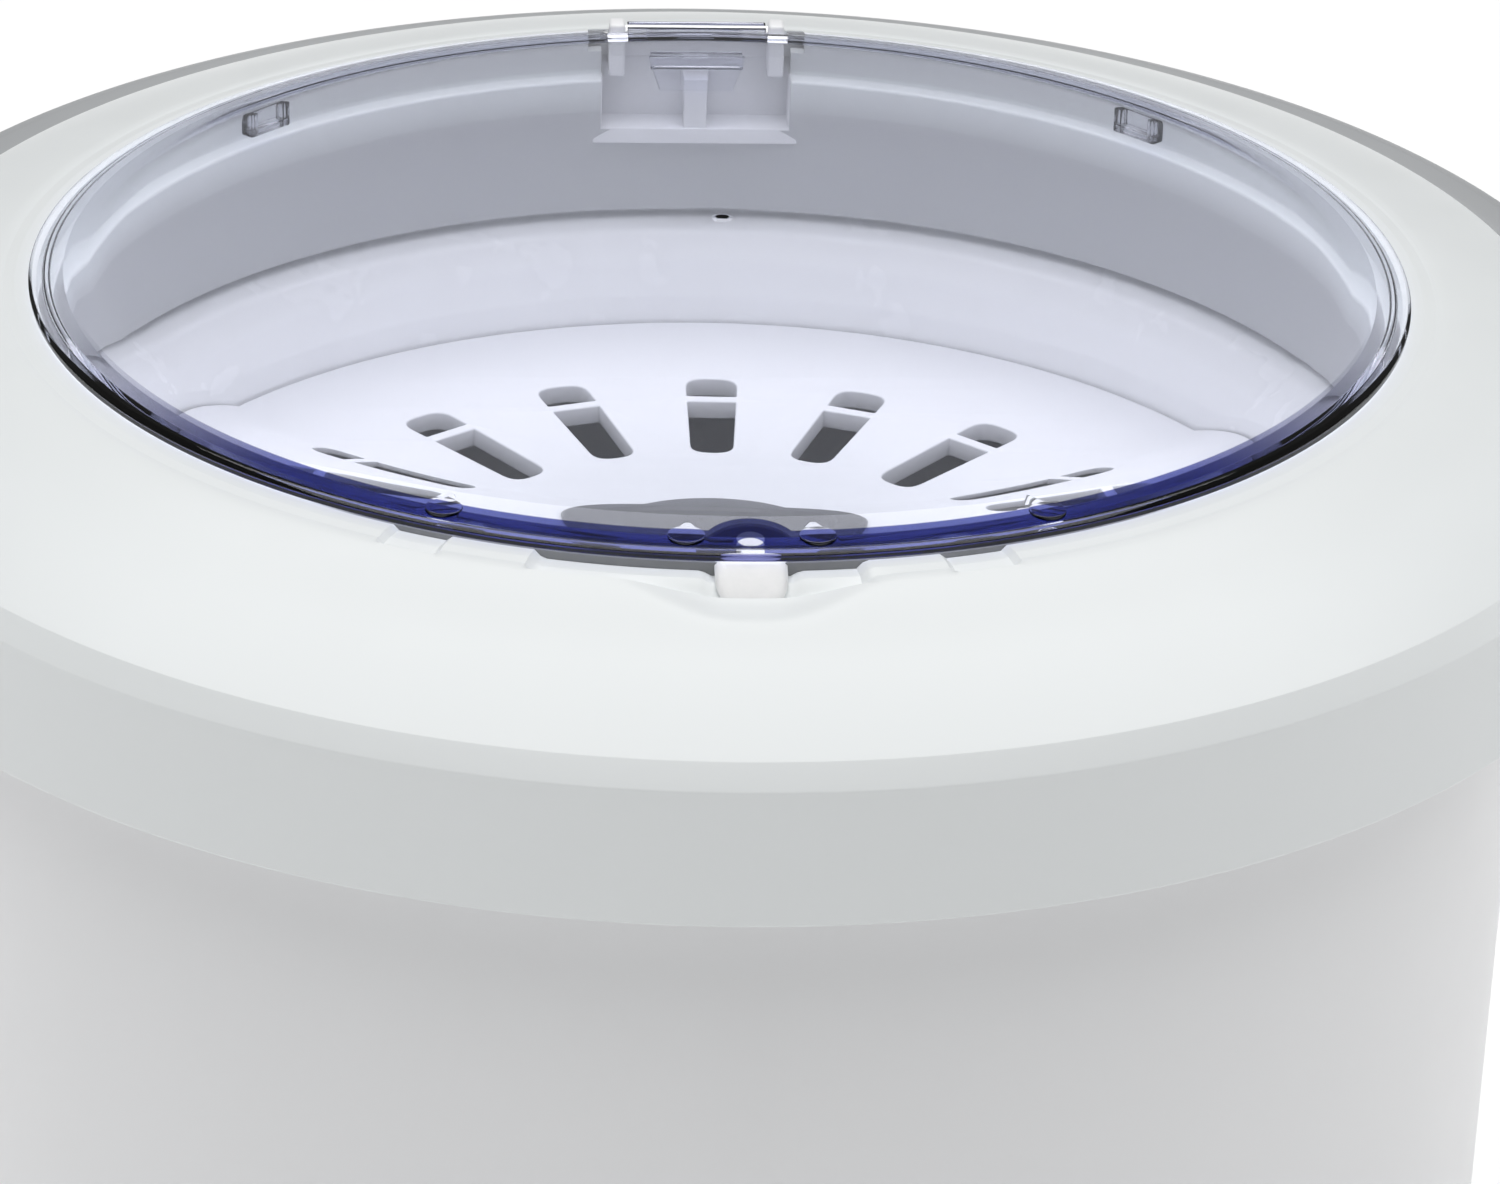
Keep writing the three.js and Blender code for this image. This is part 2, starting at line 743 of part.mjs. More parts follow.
// The outline of a belt around both pulleys, offset from its running line.
function beltOutline(offset) {
  const large = PULLEY_RADIUS + offset;
  const small = MOTOR_PULLEY_RADIUS + offset;
  const tilt = Math.asin((PULLEY_RADIUS - MOTOR_PULLEY_RADIUS) / MOTOR_OFFSET);
  const outline = new THREE.Shape();
  outline.absarc(0, 0, large, Math.PI - tilt, 2 * Math.PI + tilt, false);
  outline.absarc(0, MOTOR_OFFSET, small, tilt, Math.PI - tilt, false);
  return outline;
}

function driveBelt() {
  const half = BELT_THICKNESS / 2;
  const bottom = BELT_LEVEL - BELT_HEIGHT / 2;
  const outer = raised(beltOutline(half), bottom, bottom + BELT_HEIGHT, 14);
  const inner = raised(beltOutline(-half), bottom - 1, bottom + BELT_HEIGHT + 1, 14);
  return cut(outer, inner);
}

function motorBracket() {
  const plate = new THREE.Shape();
  plate.moveTo(-62, 50);
  plate.lineTo(-56, 44);
  plate.lineTo(56, 44);
  plate.lineTo(62, 50);
  plate.lineTo(62, 130);
  plate.lineTo(56, 136);
  plate.lineTo(-56, 136);
  plate.lineTo(-62, 130);
  const slab = raised(plate, BRACKET_BOTTOM, BRACKET_TOP);
  const holes = PILLARS.map(([x, y]) => cylinder(2.5, 60, 80, x, y));
  const screwHoles = [-30, 30].map((x) => cylinder(2.2, 60, 80, x, MOTOR_OFFSET));
  return cut(slab, ...holes, ...screwHoles, cylinder(12, 60, 80, 0, MOTOR_OFFSET, 20));
}

function motorHousing() {
  const foot = BRACKET_TOP + GAP;
  const shell = turned(
    [
      [5.6, foot],
      [40, foot],
      [46, foot + 6],
      [46, 120],
      [38, 130],
      [12, 134],
      [5.6, 134],
    ],
    COARSE,
  );
  const pilots = [-30, 30].map((x) => cylinder(1.8, foot - 1, foot + 12, x));
  const windows = around(4, 45, () => block([30, -9, 84], [50, 9, 90]));
  return cut(shell, ...pilots, ...windows);
}

function motorPulley() {
  return pulley(MOTOR_PULLEY_RADIUS, 5.3, 9, BELT_LEVEL + 10);
}

// ---- controls ----

function controlPanel() {
  const [bottom, top] = [TIMER_HEIGHT - 45, TIMER_HEIGHT + 45];
  const inner = bodyRadius(top) + 0.4;
  const band = ring(inner, inner + 2.6, bottom, top, FINE);
  const face = new THREE.Shape();
  face.absarc(-38, -35, 10, Math.PI, 1.5 * Math.PI, false);
  face.absarc(38, -35, 10, 1.5 * Math.PI, 2 * Math.PI, false);
  face.absarc(38, 35, 10, 0, 0.5 * Math.PI, false);
  face.absarc(-38, 35, 10, 0.5 * Math.PI, Math.PI, false);
  const window = raised(face, 120, 180, 4).rotateX(Math.PI / 2).translate(0, 0, TIMER_HEIGHT);
  return cut(common(band, window), throughBar(5, -180, -140, 0, TIMER_HEIGHT));
}

function timerUnit() {
  const clockwork = block([-22, -157, TIMER_HEIGHT - 22], [22, -133, TIMER_HEIGHT + 22]);
  return cut(clockwork, throughBar(3.4, -160, -146, 0, TIMER_HEIGHT));
}

function timerKnob() {
  const face = -3.4;
  const dial = turned([[0, face], [22, face], [22, 1], [20, 3], [0, 3]], COARSE).rotateX(Math.PI / 2);
  const grip = block([-4, -13, -19], [4, 0, 19]);
  return cut(join(dial, grip), throughBar(3.3, -9.8, 10, 0, 0));
}

// ---- drain and cord inlet ----

function drainPipe() {
  const bend = 22;
  const path = new THREE.CurvePath();
  const top = new THREE.Vector3(DRAIN_X, 0, 165);
  const corner = new THREE.Vector3(DRAIN_X, 0, DRAIN_HEIGHT);
  const before = new THREE.Vector3(DRAIN_X, 0, DRAIN_HEIGHT + bend);
  const after = new THREE.Vector3(DRAIN_X - bend, 0, DRAIN_HEIGHT);
  const end = new THREE.Vector3(-172, 0, DRAIN_HEIGHT);
  path.add(new THREE.LineCurve3(top, before));
  path.add(new THREE.QuadraticBezierCurve3(before, corner, after));
  path.add(new THREE.LineCurve3(after, end));
  const section = new THREE.Shape();
  section.absarc(0, 0, 13, 0, 2 * Math.PI, false);
  const bore = new THREE.Path();
  bore.absarc(0, 0, 10.2, 0, 2 * Math.PI, true);
  section.holes.push(bore);
  return closed(new THREE.ExtrudeGeometry(section, { steps: 10, curveSegments: 5, extrudePath: path }));
}

// A cap over the drain's end: its closed face is at negative X.
function drainCap() {
  return turned(
    [
      [0, 175],
      [13.7, 175],
      [13.7, 164.5],
      [16.4, 164.5],
      [16.4, 182],
      [14, 184],
      [0, 184],
    ],
    20,
  )
    .rotateY(-Math.PI / 2)
    .translate(0, 0, DRAIN_HEIGHT);
}

function cordGland() {
  const outside = bodyRadius(GLAND_HEIGHT);
  return turned(
    [
      [3.5, outside - 10],
      [10, outside - 10],
      [10, outside - WALL - 1.8],
      [7.4, outside - WALL - 1.8],
      [7.4, outside + 0.4],
      [11, outside + 0.4],
      [9, outside + 7],
      [3.5, outside + 7],
    ],
    16,
  )
    .rotateX(-Math.PI / 2)
    .translate(0, 0, GLAND_HEIGHT);
}

// ---- assembly ----

add('body_shell', bodyShell(), bodyPlastic());
add('base_pan', basePan(), darkPlastic());
for (const [corner, [x, y]] of Object.entries(FEET)) {
  add(`foot_${corner}`, foot(), rubber(), [x, y, 0]);
}
for (let i = 0; i < BASE_SCREWS; i += 1) {
  const [x, y] = polar(BASE_SCREW_RADIUS, (360 / BASE_SCREWS) * i);
  add(`base_screw_${i + 1}`, closed(screw(4.5, 2.6, 1.7, 34)), steel(), [x, y, BASE_BOTTOM - GAP]);
}

add('top_cover', topCover(), whitePlastic());
for (let i = 0; i < 4; i += 1) {
  const [x, y] = polar(COVER_SCREW_RADIUS, 45 + 90 * i);
  const z = TUB_FLANGE_TOP - WALL - GAP;
  add(`cover_screw_${i + 1}`, closed(screw(4, 2.6, 1.5, 16)), steel(), [x, y, z]);
}

add('lid', lid(), clearPlastic());
add('lid_finger_tab', fingerTab(), frostedPlastic());
add('lid_clip_left', lidClip().rotateZ(THREE.MathUtils.degToRad(136)), clearPlastic());
add('lid_clip_right', lidClip().rotateZ(THREE.MathUtils.degToRad(44)), clearPlastic());
const pinHalf = HINGE.half + FIT + HINGE.ear;
add('hinge_pin', closed(crossBar(1.4, -pinHalf, pinHalf, 0, 0)), steel(), [0, HINGE.y, HINGE.z]);

add('carry_handle', handle(), greyPlastic());
add('handle_pin_right', handlePin(), steel(), [0, 0, HANDLE_AXIS]);
add('handle_pin_left', handlePin().rotateZ(Math.PI), steel(), [0, 0, HANDLE_AXIS]);

add('wash_tub', washTub(), whitePlastic());
add('drain_plate', drainPlate(), whitePlastic());
add('plate_hub', plateHub(), greyPlastic());

add('pulsator', pulsator(), whitePlastic());
const pulsatorSeat = PAD_TOP + 2.5 + 15 + GAP;
add('pulsator_screw', closed(screw(7.5, 2.6, 2.5, 19).rotateX(Math.PI)), steel(), [0, 0, pulsatorSeat]);
add('drive_shaft', driveShaft(), steel());
add('shaft_seal', ring(SHAFT_RADIUS + GAP, 11.6, PAD_TOP - 7.7, PAD_TOP), rubber());
add('bearing_housing', bearingHousing(), castMetal());
add('upper_bearing', ring(SHAFT_RADIUS + GAP, 12.8, 150.3, 162), steel());
add('lower_bearing', ring(SHAFT_RADIUS + GAP, 12.8, 96.3, 107.7), steel());
for (let i = 0; i < 3; i += 1) {
  const [x, y] = polar(HOUSING_SCREW_RADIUS, 90 + 120 * i);
  add(`housing_screw_${i + 1}`, closed(screw(4, 2.6, 1.5, 13)), steel(), [x, y, HOUSING_FLANGE.bottom - GAP]);
}
add('large_pulley', largePulley(), castMetal());
add('pulley_nut', pulleyNut(), steel());
add('drive_belt', driveBelt(), rubber());

add('motor_bracket', motorBracket(), steel());
add('motor_housing', motorHousing(), castMetal(), [0, MOTOR_OFFSET, 0]);
add('motor_shaft', closed(cylinder(5, 43, 140, 0, 0, 20)), steel(), [0, MOTOR_OFFSET, 0]);
add('motor_pulley', motorPulley(), castMetal(), [0, MOTOR_OFFSET, 0]);
PILLARS.forEach(([x, y], i) => {
  const damper = ring(2.7, 8, PILLAR_TOP + GAP, BRACKET_BOTTOM - GAP, 12);
  add(`motor_damper_${i + 1}`, damper, rubber(), [x, y, 0]);
  const bolt = closed(screw(4.5, 2.8, 2, 24).rotateX(Math.PI));
  add(`mount_screw_${i + 1}`, bolt, steel(), [x, y, BRACKET_TOP + GAP]);
});
for (const [side, x] of [['left', -30], ['right', 30]]) {
  const bolt = closed(screw(4, 2.6, 1.5, 12));
  add(`motor_screw_${side}`, bolt, steel(), [x, MOTOR_OFFSET, BRACKET_BOTTOM - GAP]);
}
add('capacitor', closed(cylinder(15, BASE_FLOOR + GAP, 78, 0, 0, 20)), greyPlastic(), [...CAPACITOR, 0]);

add('control_panel', controlPanel(), greyPlastic());
add('timer_unit', timerUnit(), darkPlastic());
add('timer_shaft', closed(throughBar(3, -178, -148, 0, 0)), steel(), [0, 0, TIMER_HEIGHT]);
add('timer_knob', timerKnob(), whitePlastic(), [0, -169.6, TIMER_HEIGHT]);

add('drain_pipe', drainPipe(), greyPlastic());
add('drain_cap', drainCap(), darkPlastic());
add('cord_gland', cordGland(), rubber());

export default washer;
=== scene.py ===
"""Portable mini washer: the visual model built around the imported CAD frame."""

import json
import math

import bmesh
import bpy
import numpy as np
from mathutils import Matrix, Vector


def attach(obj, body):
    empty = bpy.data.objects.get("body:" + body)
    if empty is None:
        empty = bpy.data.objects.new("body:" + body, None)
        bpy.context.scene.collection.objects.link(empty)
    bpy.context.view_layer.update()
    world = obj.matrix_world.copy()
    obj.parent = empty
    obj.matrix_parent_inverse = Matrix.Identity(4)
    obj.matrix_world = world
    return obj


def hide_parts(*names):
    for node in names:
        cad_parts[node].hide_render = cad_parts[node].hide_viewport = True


MM = 0.001
RIM = 0.440  # height of the cover's outer edge, as in the CAD
TAU = 2 * math.pi
FLANGE = 14.1  # underside of the lid's edge at the hinge, in mm above the rim
FRONT_RISE = 2.6  # how much higher the lid's edge sits at the front than at its hinge, in mm
BEAD_RISE = 2.5  # the same for the cover's bead
HINGE_Y = 133.0  # of the lid's hinge axis, in mm
LID_R = 135.7  # of the lid's edge
LID_SPAN = HINGE_Y + LID_R  # from the hinge axis to the lid's front edge

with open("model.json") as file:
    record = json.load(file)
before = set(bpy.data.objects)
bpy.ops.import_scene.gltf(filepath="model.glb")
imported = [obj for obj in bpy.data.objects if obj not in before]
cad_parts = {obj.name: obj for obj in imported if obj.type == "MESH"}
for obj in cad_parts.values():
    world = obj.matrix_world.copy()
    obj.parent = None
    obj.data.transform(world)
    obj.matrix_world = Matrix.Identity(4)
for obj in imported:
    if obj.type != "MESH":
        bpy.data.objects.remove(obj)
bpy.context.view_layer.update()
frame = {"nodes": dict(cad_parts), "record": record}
NODES = frame["nodes"]


# ---------------------------------------------------------------- mesh helpers


def soften(corners, steps=5):
    """Rounds the corners of a closed (radius, height, fillet) outline, in millimetres."""
    out = []
    count = len(corners)
    for i, (x, y, fillet) in enumerate(corners):
        here = Vector((x, y))
        back = Vector(corners[i - 1][:2]) - here
        ahead = Vector(corners[(i + 1) % count][:2]) - here
        room = 0.49 * min(back.length, ahead.length)
        turn = back.angle(ahead, math.pi)
        if fillet <= 0 or turn > math.pi - 0.02 or room < 1e-6:
            out.append((x, y))
            continue
        reach = min(fillet / math.tan(turn / 2), room)
        start = here + back.normalized() * reach
        end = here + ahead.normalized() * reach
        for k in range(steps + 1):
            t = k / steps
            point = start * (1 - t) ** 2 + here * 2 * t * (1 - t) + end * t**2
            out.append((point.x, point.y))
    return out


def make_object(name, verts, faces, smooth=40):
    mesh = bpy.data.meshes.new(name)
    mesh.from_pydata([tuple(v) for v in verts], [], faces)
    bm = bmesh.new()
    bm.from_mesh(mesh)
    bmesh.ops.remove_doubles(bm, verts=bm.verts, dist=1e-7)
    bmesh.ops.recalc_face_normals(bm, faces=bm.faces)
    bm.to_mesh(mesh)
    bm.free()
    obj = bpy.data.objects.new(name, mesh)
    bpy.context.scene.collection.objects.link(obj)
    shade(obj, smooth)
    return obj


def shade(obj, degrees=40):
    for polygon in obj.data.polygons:
        polygon.use_smooth = True
    obj.data.set_sharp_from_angle(angle=math.radians(degrees))


def lathe(name, outline, segments=256, z0=0.0, smooth=40, warp=None):
    """A closed (radius, height) outline in millimetres turned about Z, at height z0 in metres."""
    rings = len(outline)
    verts = []
    for radius, height in outline:
        for k in range(segments):
            angle = TAU * k / segments
            verts.append((radius * MM * math.cos(angle), radius * MM * math.sin(angle), z0 + height * MM))
    if warp is not None:
        verts = warp(np.array(verts))
    faces = []
    for i in range(rings):
        j = (i + 1) % rings
        if outline[i][0] < 1e-6 and outline[j][0] < 1e-6:
            continue
        for k in range(segments):
            m = (k + 1) % segments
            quad = [i * segments + k, i * segments + m, j * segments + m, j * segments + k]
            if outline[i][0] < 1e-6:
                quad = [i * segments, j * segments + m, j * segments + k]
            elif outline[j][0] < 1e-6:
                quad = [i * segments + k, i * segments + m, j * segments]
            faces.append(quad)
    return make_object(name, verts, faces, smooth)


def box_mesh(name, low, high, bevel=0.0003, segments=3):
    """A box with rounded edges, between two corners in metres."""
    bm = bmesh.new()
    bmesh.ops.create_cube(bm, size=1.0)
    size = [h - l for l, h in zip(low, high)]
    middle = [(h + l) / 2 for l, h in zip(low, high)]
    for v in bm.verts:
        v.co = Vector([v.co[a] * size[a] + middle[a] for a in range(3)])
    if bevel > 0:
        bmesh.ops.bevel(bm, geom=list(bm.edges), offset=bevel, segments=segments, affect="EDGES", profile=0.5)
    mesh = bpy.data.meshes.new(name)
    bm.to_mesh(mesh)
    bm.free()
    obj = bpy.data.objects.new(name, mesh)
    bpy.context.scene.collection.objects.link(obj)
    shade(obj, 30)
    return obj


def boolean(obj, tool, operation="DIFFERENCE"):
    """Cuts or joins obj with tool, applies it and removes the tool."""
    modifier = obj.modifiers.new("bool", "BOOLEAN")
    modifier.operation = operation
    modifier.solver = "EXACT"
    modifier.object = tool
    bpy.context.view_layer.update()
    depsgraph = bpy.context.evaluated_depsgraph_get()
    mesh = bpy.data.meshes.new_from_object(obj.evaluated_get(depsgraph))
    obj.modifiers.clear()
    old = obj.data
    obj.data = mesh
    mesh.name = obj.name
    bpy.data.meshes.remove(old)
    tool_mesh = tool.data
    bpy.data.objects.remove(tool)
    bpy.data.meshes.remove(tool_mesh)
    return obj


def merge(name, objects, smooth=40):
    """Joins separate meshes into one object."""
    verts, faces = [], []
    for obj in objects:
        base = len(verts)
        verts += [tuple(obj.matrix_world @ v.co) for v in obj.data.vertices]
        faces += [[base + i for i in polygon.vertices] for polygon in obj.data.polygons]
        mesh = obj.data
        bpy.data.objects.remove(obj)
        bpy.data.meshes.remove(mesh)
    return make_object(name, verts, faces, smooth)


def place(piece, body, slot, *nodes):
    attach(piece, body)
    if nodes:
        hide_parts(*nodes)
    return piece


def dress(obj, material):
    obj.data.materials.clear()
    obj.data.materials.append(material)
    return obj


# ---------------------------------------------------------------- materials


def new_material(name):
    material = bpy.data.materials.new(name)
    material.use_nodes = True
    tree = material.node_tree
    return material, tree, tree.nodes["Principled BSDF"]


def noise(tree, scale, detail=3.0, rough=0.55, stretch=None):
    coords = tree.nodes.new("ShaderNodeTexCoord")
    texture = tree.nodes.new("ShaderNodeTexNoise")
    texture.inputs["Scale"].default_value = scale
    texture.inputs["Detail"].default_value = detail
    texture.inputs["Roughness"].default_value = rough
    if stretch is None:
        tree.links.new(coords.outputs["Object"], texture.inputs["Vector"])
    else:
        mapping = tree.nodes.new("ShaderNodeMapping")
        mapping.inputs["Scale"].default_value = stretch
        tree.links.new(coords.outputs["Object"], mapping.inputs["Vector"])
        tree.links.new(mapping.outputs["Vector"], texture.inputs["Vector"])
    return texture.outputs["Fac"]


def spread(tree, source, low, high):
    """Maps a 0-1 noise to the range from low to high."""
    node = tree.nodes.new("ShaderNodeMapRange")
    node.inputs["From Min"].default_value = 0.25
    node.inputs["From Max"].default_value = 0.75
    node.inputs["To Min"].default_value = low
    node.inputs["To Max"].default_value = high
    tree.links.new(source, node.inputs["Value"])
    return node.outputs["Result"]


def tinted(tree, source, dark, light):
    return blended(tree, source, (*dark, 1), (*light, 1))


def blended(tree, factor, first, second):
    """A colour mix: each end is a colour or another node's colour output."""
    node = tree.nodes.new("ShaderNodeMix")
    node.data_type = "RGBA"
    tree.links.new(factor, node.inputs[0])
    for socket, value in ((node.inputs[6], first), (node.inputs[7], second)):
        if isinstance(value, tuple):
            socket.default_value = value
        else:
            tree.links.new(value, socket)
    return node.outputs[2]


def bump(tree, source, strength, distance, normal=None):
    node = tree.nodes.new("ShaderNodeBump")
    node.inputs["Strength"].default_value = strength
    node.inputs["Distance"].default_value = distance
    tree.links.new(source, node.inputs["Height"])
    if normal is not None:
        tree.links.new(normal, node.inputs["Normal"])
    return node.outputs["Normal"]


def moulded(name, dark, light, roughness, grain=0.10, grain_scale=2600, wave=0.25, specular=0.5):
    """Moulded plastic: faint colour drift, sink and flow in the gloss, and a fine tool grain."""
    material, tree, shader = new_material(name)
    drift = noise(tree, 9, 2)
    tree.links.new(tinted(tree, spread(tree, drift, 0, 1), dark, light), shader.inputs["Base Color"])
    flow = noise(tree, 60, 3)
    tree.links.new(spread(tree, flow, roughness * 0.88, roughness * 1.12), shader.inputs["Roughness"])
    shader.inputs["Specular IOR Level"].default_value = specular
    sink = bump(tree, noise(tree, 22, 1), wave, 0.00012)
    fine = bump(tree, noise(tree, grain_scale, 2), grain, 0.00004, sink)
    tree.links.new(fine, shader.inputs["Normal"])
    return material


def cover_material(name, outside, collar_shade, shade_line):
    """The cover's plastic, with painted shade: greyer on its inner walls, and darkest on the lip under the
    lid's front, a painted shadow of the gap there.
    """
    light = tuple(value * 1.015 for value in outside)
    material = moulded(name, outside, light, 0.32, grain=0.05)
    tree = material.node_tree
    shader = tree.nodes["Principled BSDF"]
    clean = shader.inputs["Base Color"].links[0].from_socket
    x, y, z = object_axes(tree)
    radius = distance(tree, x, y)
    # Painted shade: the collar and the bead's inner wall are greyed where the ring and the lid shade them.
    inside = math_node(tree, "SUBTRACT", 1.0, ramp(tree, radius, 0.1370, 0.1376))
    below = math_node(tree, "SUBTRACT", 1.0, ramp(tree, z, RIM - 0.0050, RIM + 0.0034))
    lower = math_node(tree, "MULTIPLY", inside, below)
    throat = math_node(tree, "SUBTRACT", 1.0, ramp(tree, radius, 0.1338, 0.1341))
    upper = math_node(tree, "MULTIPLY", throat, ramp(tree, z, RIM + 0.0044, RIM + 0.0054))
    facing = math_node(tree, "DIVIDE", math_node(tree, "MULTIPLY", y, -1.0), radius)
    off_hinge = ramp(tree, facing, -0.85, -0.45)
    upper = math_node(tree, "MULTIPLY", upper, math_node(tree, "SUBTRACT", 1.0, off_hinge))
    painted_wall_shade = math_node(tree, "MAXIMUM", lower, math_node(tree, "MULTIPLY", upper, 0.6))
    wall_shaded = blended(tree, painted_wall_shade, clean, (*collar_shade, 1))
    # Painted shadow: the lip under the lid's front edge is darkened to stand for the shaded gap between lid
    # and bead.
    lip = math_node(tree, "SUBTRACT", 1.0, ramp(tree, radius, 0.13472, 0.13482))
    lip = math_node(tree, "MULTIPLY", lip, ramp(tree, facing, 0.80, 0.86))
    lip = math_node(tree, "MULTIPLY", lip, ramp(tree, z, RIM + 0.0080, RIM + 0.0090))
    tree.links.new(blended(tree, lip, wall_shaded, (*shade_line, 1)), shader.inputs["Base Color"])
    return material


def plate_material(name, outside, centre_shade):
    """The drain plate's plastic, with painted shade that makes it a little greyer towards its middle."""
    light = tuple(value * 1.02 for value in outside)
    material = moulded(name, outside, light, 0.42, grain=0.04, specular=0.2)
    tree = material.node_tree
    shader = tree.nodes["Principled BSDF"]
    clean = shader.inputs["Base Color"].links[0].from_socket
    x, y, _ = object_axes(tree)
    radius = distance(tree, x, y)
    # Painted shade: the plate's middle is greyed to even out the light falling on it.
    middle = math_node(tree, "SUBTRACT", 1.0, ramp(tree, radius, 0.035, 0.110))
    tree.links.new(blended(tree, middle, clean, (*centre_shade, 1)), shader.inputs["Base Color"])
    return material


def metal(name, dark, light, roughness, stretch=(1, 1, 40), scale=220, strength=0.25):
    """Turned or rolled metal: fine lines along one way, with patches of duller surface."""
    material, tree, shader = new_material(name)
    shader.inputs["Metallic"].default_value = 1.0
    patches = noise(tree, 45, 4)
    tree.links.new(tinted(tree, spread(tree, patches, 0, 1), dark, light), shader.inputs["Base Color"])
    tree.links.new(spread(tree, patches, roughness * 0.75, roughness * 1.3), shader.inputs["Roughness"])
    lines = noise(tree, scale, 2, 0.6, stretch)
    tree.links.new(bump(tree, lines, strength, 0.00005), shader.inputs["Normal"])
    return material


def rubber_material(name):
    material, tree, shader = new_material(name)
    dust = noise(tree, 70, 4)
    tree.links.new(
        tinted(tree, spread(tree, dust, 0, 1), (0.018, 0.018, 0.02), (0.045, 0.045, 0.046)),
        shader.inputs["Base Color"],
    )
    tree.links.new(spread(tree, dust, 0.62, 0.85), shader.inputs["Roughness"])
    tree.links.new(bump(tree, noise(tree, 900, 3), 0.35, 0.00008), shader.inputs["Normal"])
    return material


def math_node(tree, operation, *values, clamp=False):
    node = tree.nodes.new("ShaderNodeMath")
    node.operation = operation
    node.use_clamp = clamp
    for socket, value in zip(node.inputs, values):
        if isinstance(value, (int, float)):
            socket.default_value = value
        else:
            tree.links.new(value, socket)
    return node.outputs["Value"]


def ramp(tree, value, low, high):
    """A soft step that is 0 below low and 1 above high."""
    node = tree.nodes.new("ShaderNodeMapRange")
    node.interpolation_type = "SMOOTHSTEP"
    node.inputs["From Min"].default_value = low
    node.inputs["From Max"].default_value = high
    tree.links.new(value, node.inputs["Value"])
    return node.outputs["Result"]


def object_axes(tree):
    """The x, y and z of the object's own coordinates, in metres."""
    coords = tree.nodes.new("ShaderNodeTexCoord")
    split = tree.nodes.new("ShaderNodeSeparateXYZ")
    tree.links.new(coords.outputs["Object"], split.inputs["Vector"])
    return split.outputs["X"], split.outputs["Y"], split.outputs["Z"]


def distance(tree, a, b):
    """The length of the flat vector with sides a and b."""
    squares = [math_node(tree, "MULTIPLY", side, side) for side in (a, b)]
    return math_node(tree, "SQRT", math_node(tree, "ADD", *squares))


def painted_edge_shade(tree):
    """Masks for painted shade on the front of the lid's flange and on its cut edge."""
    x, y, z = object_axes(tree)
    radius = distance(tree, x, y)
    facing = math_node(tree, "DIVIDE", math_node(tree, "MULTIPLY", y, -1.0), radius)
    front = ramp(tree, facing, 0.16, 0.80)
    inside = ramp(tree, radius, 0.1283, 0.1287)
    line = math_node(tree, "SUBTRACT", 1.0, ramp(tree, radius, 0.1342, 0.1345))
    band = math_node(tree, "MULTIPLY", inside, line)
    ahead = math_node(tree, "ADD", y, 0.1330)
    boss = math_node(tree, "SUBTRACT", 1.0, ramp(tree, distance(tree, x, ahead), 0.0086, 0.0089))
    boss = math_node(tree, "MULTIPLY", boss, line)
    spot = math_node(tree, "ADD", y, 0.1312)
    clear_spot = ramp(tree, distance(tree, x, spot), 0.0023, 0.0026)
    patch = math_node(tree, "MULTIPLY", math_node(tree, "MAXIMUM", band, boss), clear_spot)
    patch = math_node(tree, "MULTIPLY", patch, front)
    slope = FRONT_RISE / LID_SPAN
    lift = math_node(tree, "MULTIPLY", math_node(tree, "SUBTRACT", HINGE_Y * MM, y), slope)
    height = math_node(tree, "SUBTRACT", z, math_node(tree, "ADD", lift, RIM + FLANGE * MM))
    above = ramp(tree, height, -0.0004, -0.0001)
    within = math_node(tree, "SUBTRACT", 1.0, ramp(tree, radius, 0.1318, 0.1321))
    patch = math_node(tree, "MULTIPLY", patch, math_node(tree, "MAXIMUM", above, within))
    thin = math_node(tree, "SUBTRACT", 1.0, ramp(tree, height, 0.0005, 0.0007))
    rim_edge = ramp(tree, radius, 0.13535, 0.1355)
    thin = math_node(tree, "MULTIPLY", thin, 0.8)
    rim_edge = math_node(tree, "MULTIPLY", rim_edge, math_node(tree, "MAXIMUM", front, thin))
    return patch, rim_edge


def clear_material(name):
    """Clear styrene with a blue tint that deepens along its thickness. Lamps shine through it. The front of
    its flange, a disc above the tab and its cut edge carry painted dark navy shade, standing for light lost
    along long paths through the plastic seen edge-on.
    """
    material, tree, shader = new_material(name)
    patch, rim_edge = painted_edge_shade(tree)
    # Painted shade: the blue is the plastic's own tint, but the navy darkness on the flange's front, the disc
    # and the cut edge is painted.
    band_shaded = tinted(tree, patch, (0.985, 0.987, 1.0), (0.020, 0.026, 0.17))
    edge_shaded = blended(tree, rim_edge, band_shaded, (0.05, 0.054, 0.24, 1))
    tree.links.new(edge_shaded, shader.inputs["Base Color"])
    shader.inputs["Transmission Weight"].default_value = 1.0
    shader.inputs["IOR"].default_value = 1.52
    shader.inputs["Roughness"].default_value = 0.0
    output = tree.nodes["Material Output"]
    light_path = tree.nodes.new("ShaderNodeLightPath")
    through = tree.nodes.new("ShaderNodeBsdfTransparent")
    through.inputs["Color"].default_value = (0.985, 0.988, 1.0, 1)
    mix = tree.nodes.new("ShaderNodeMixShader")
    tree.links.new(light_path.outputs["Is Shadow Ray"], mix.inputs["Fac"])
    tree.links.new(shader.outputs["BSDF"], mix.inputs[1])
    tree.links.new(through.outputs["BSDF"], mix.inputs[2])
    tree.links.new(mix.outputs["Shader"], output.inputs["Surface"])
    absorb = tree.nodes.new("ShaderNodeVolumeAbsorption")
    absorb.inputs["Color"].default_value = (0.40, 0.48, 0.93, 1)
    absorb.inputs["Density"].default_value = 28.0
    tree.links.new(absorb.outputs["Volume"], output.inputs["Volume"])
    return material


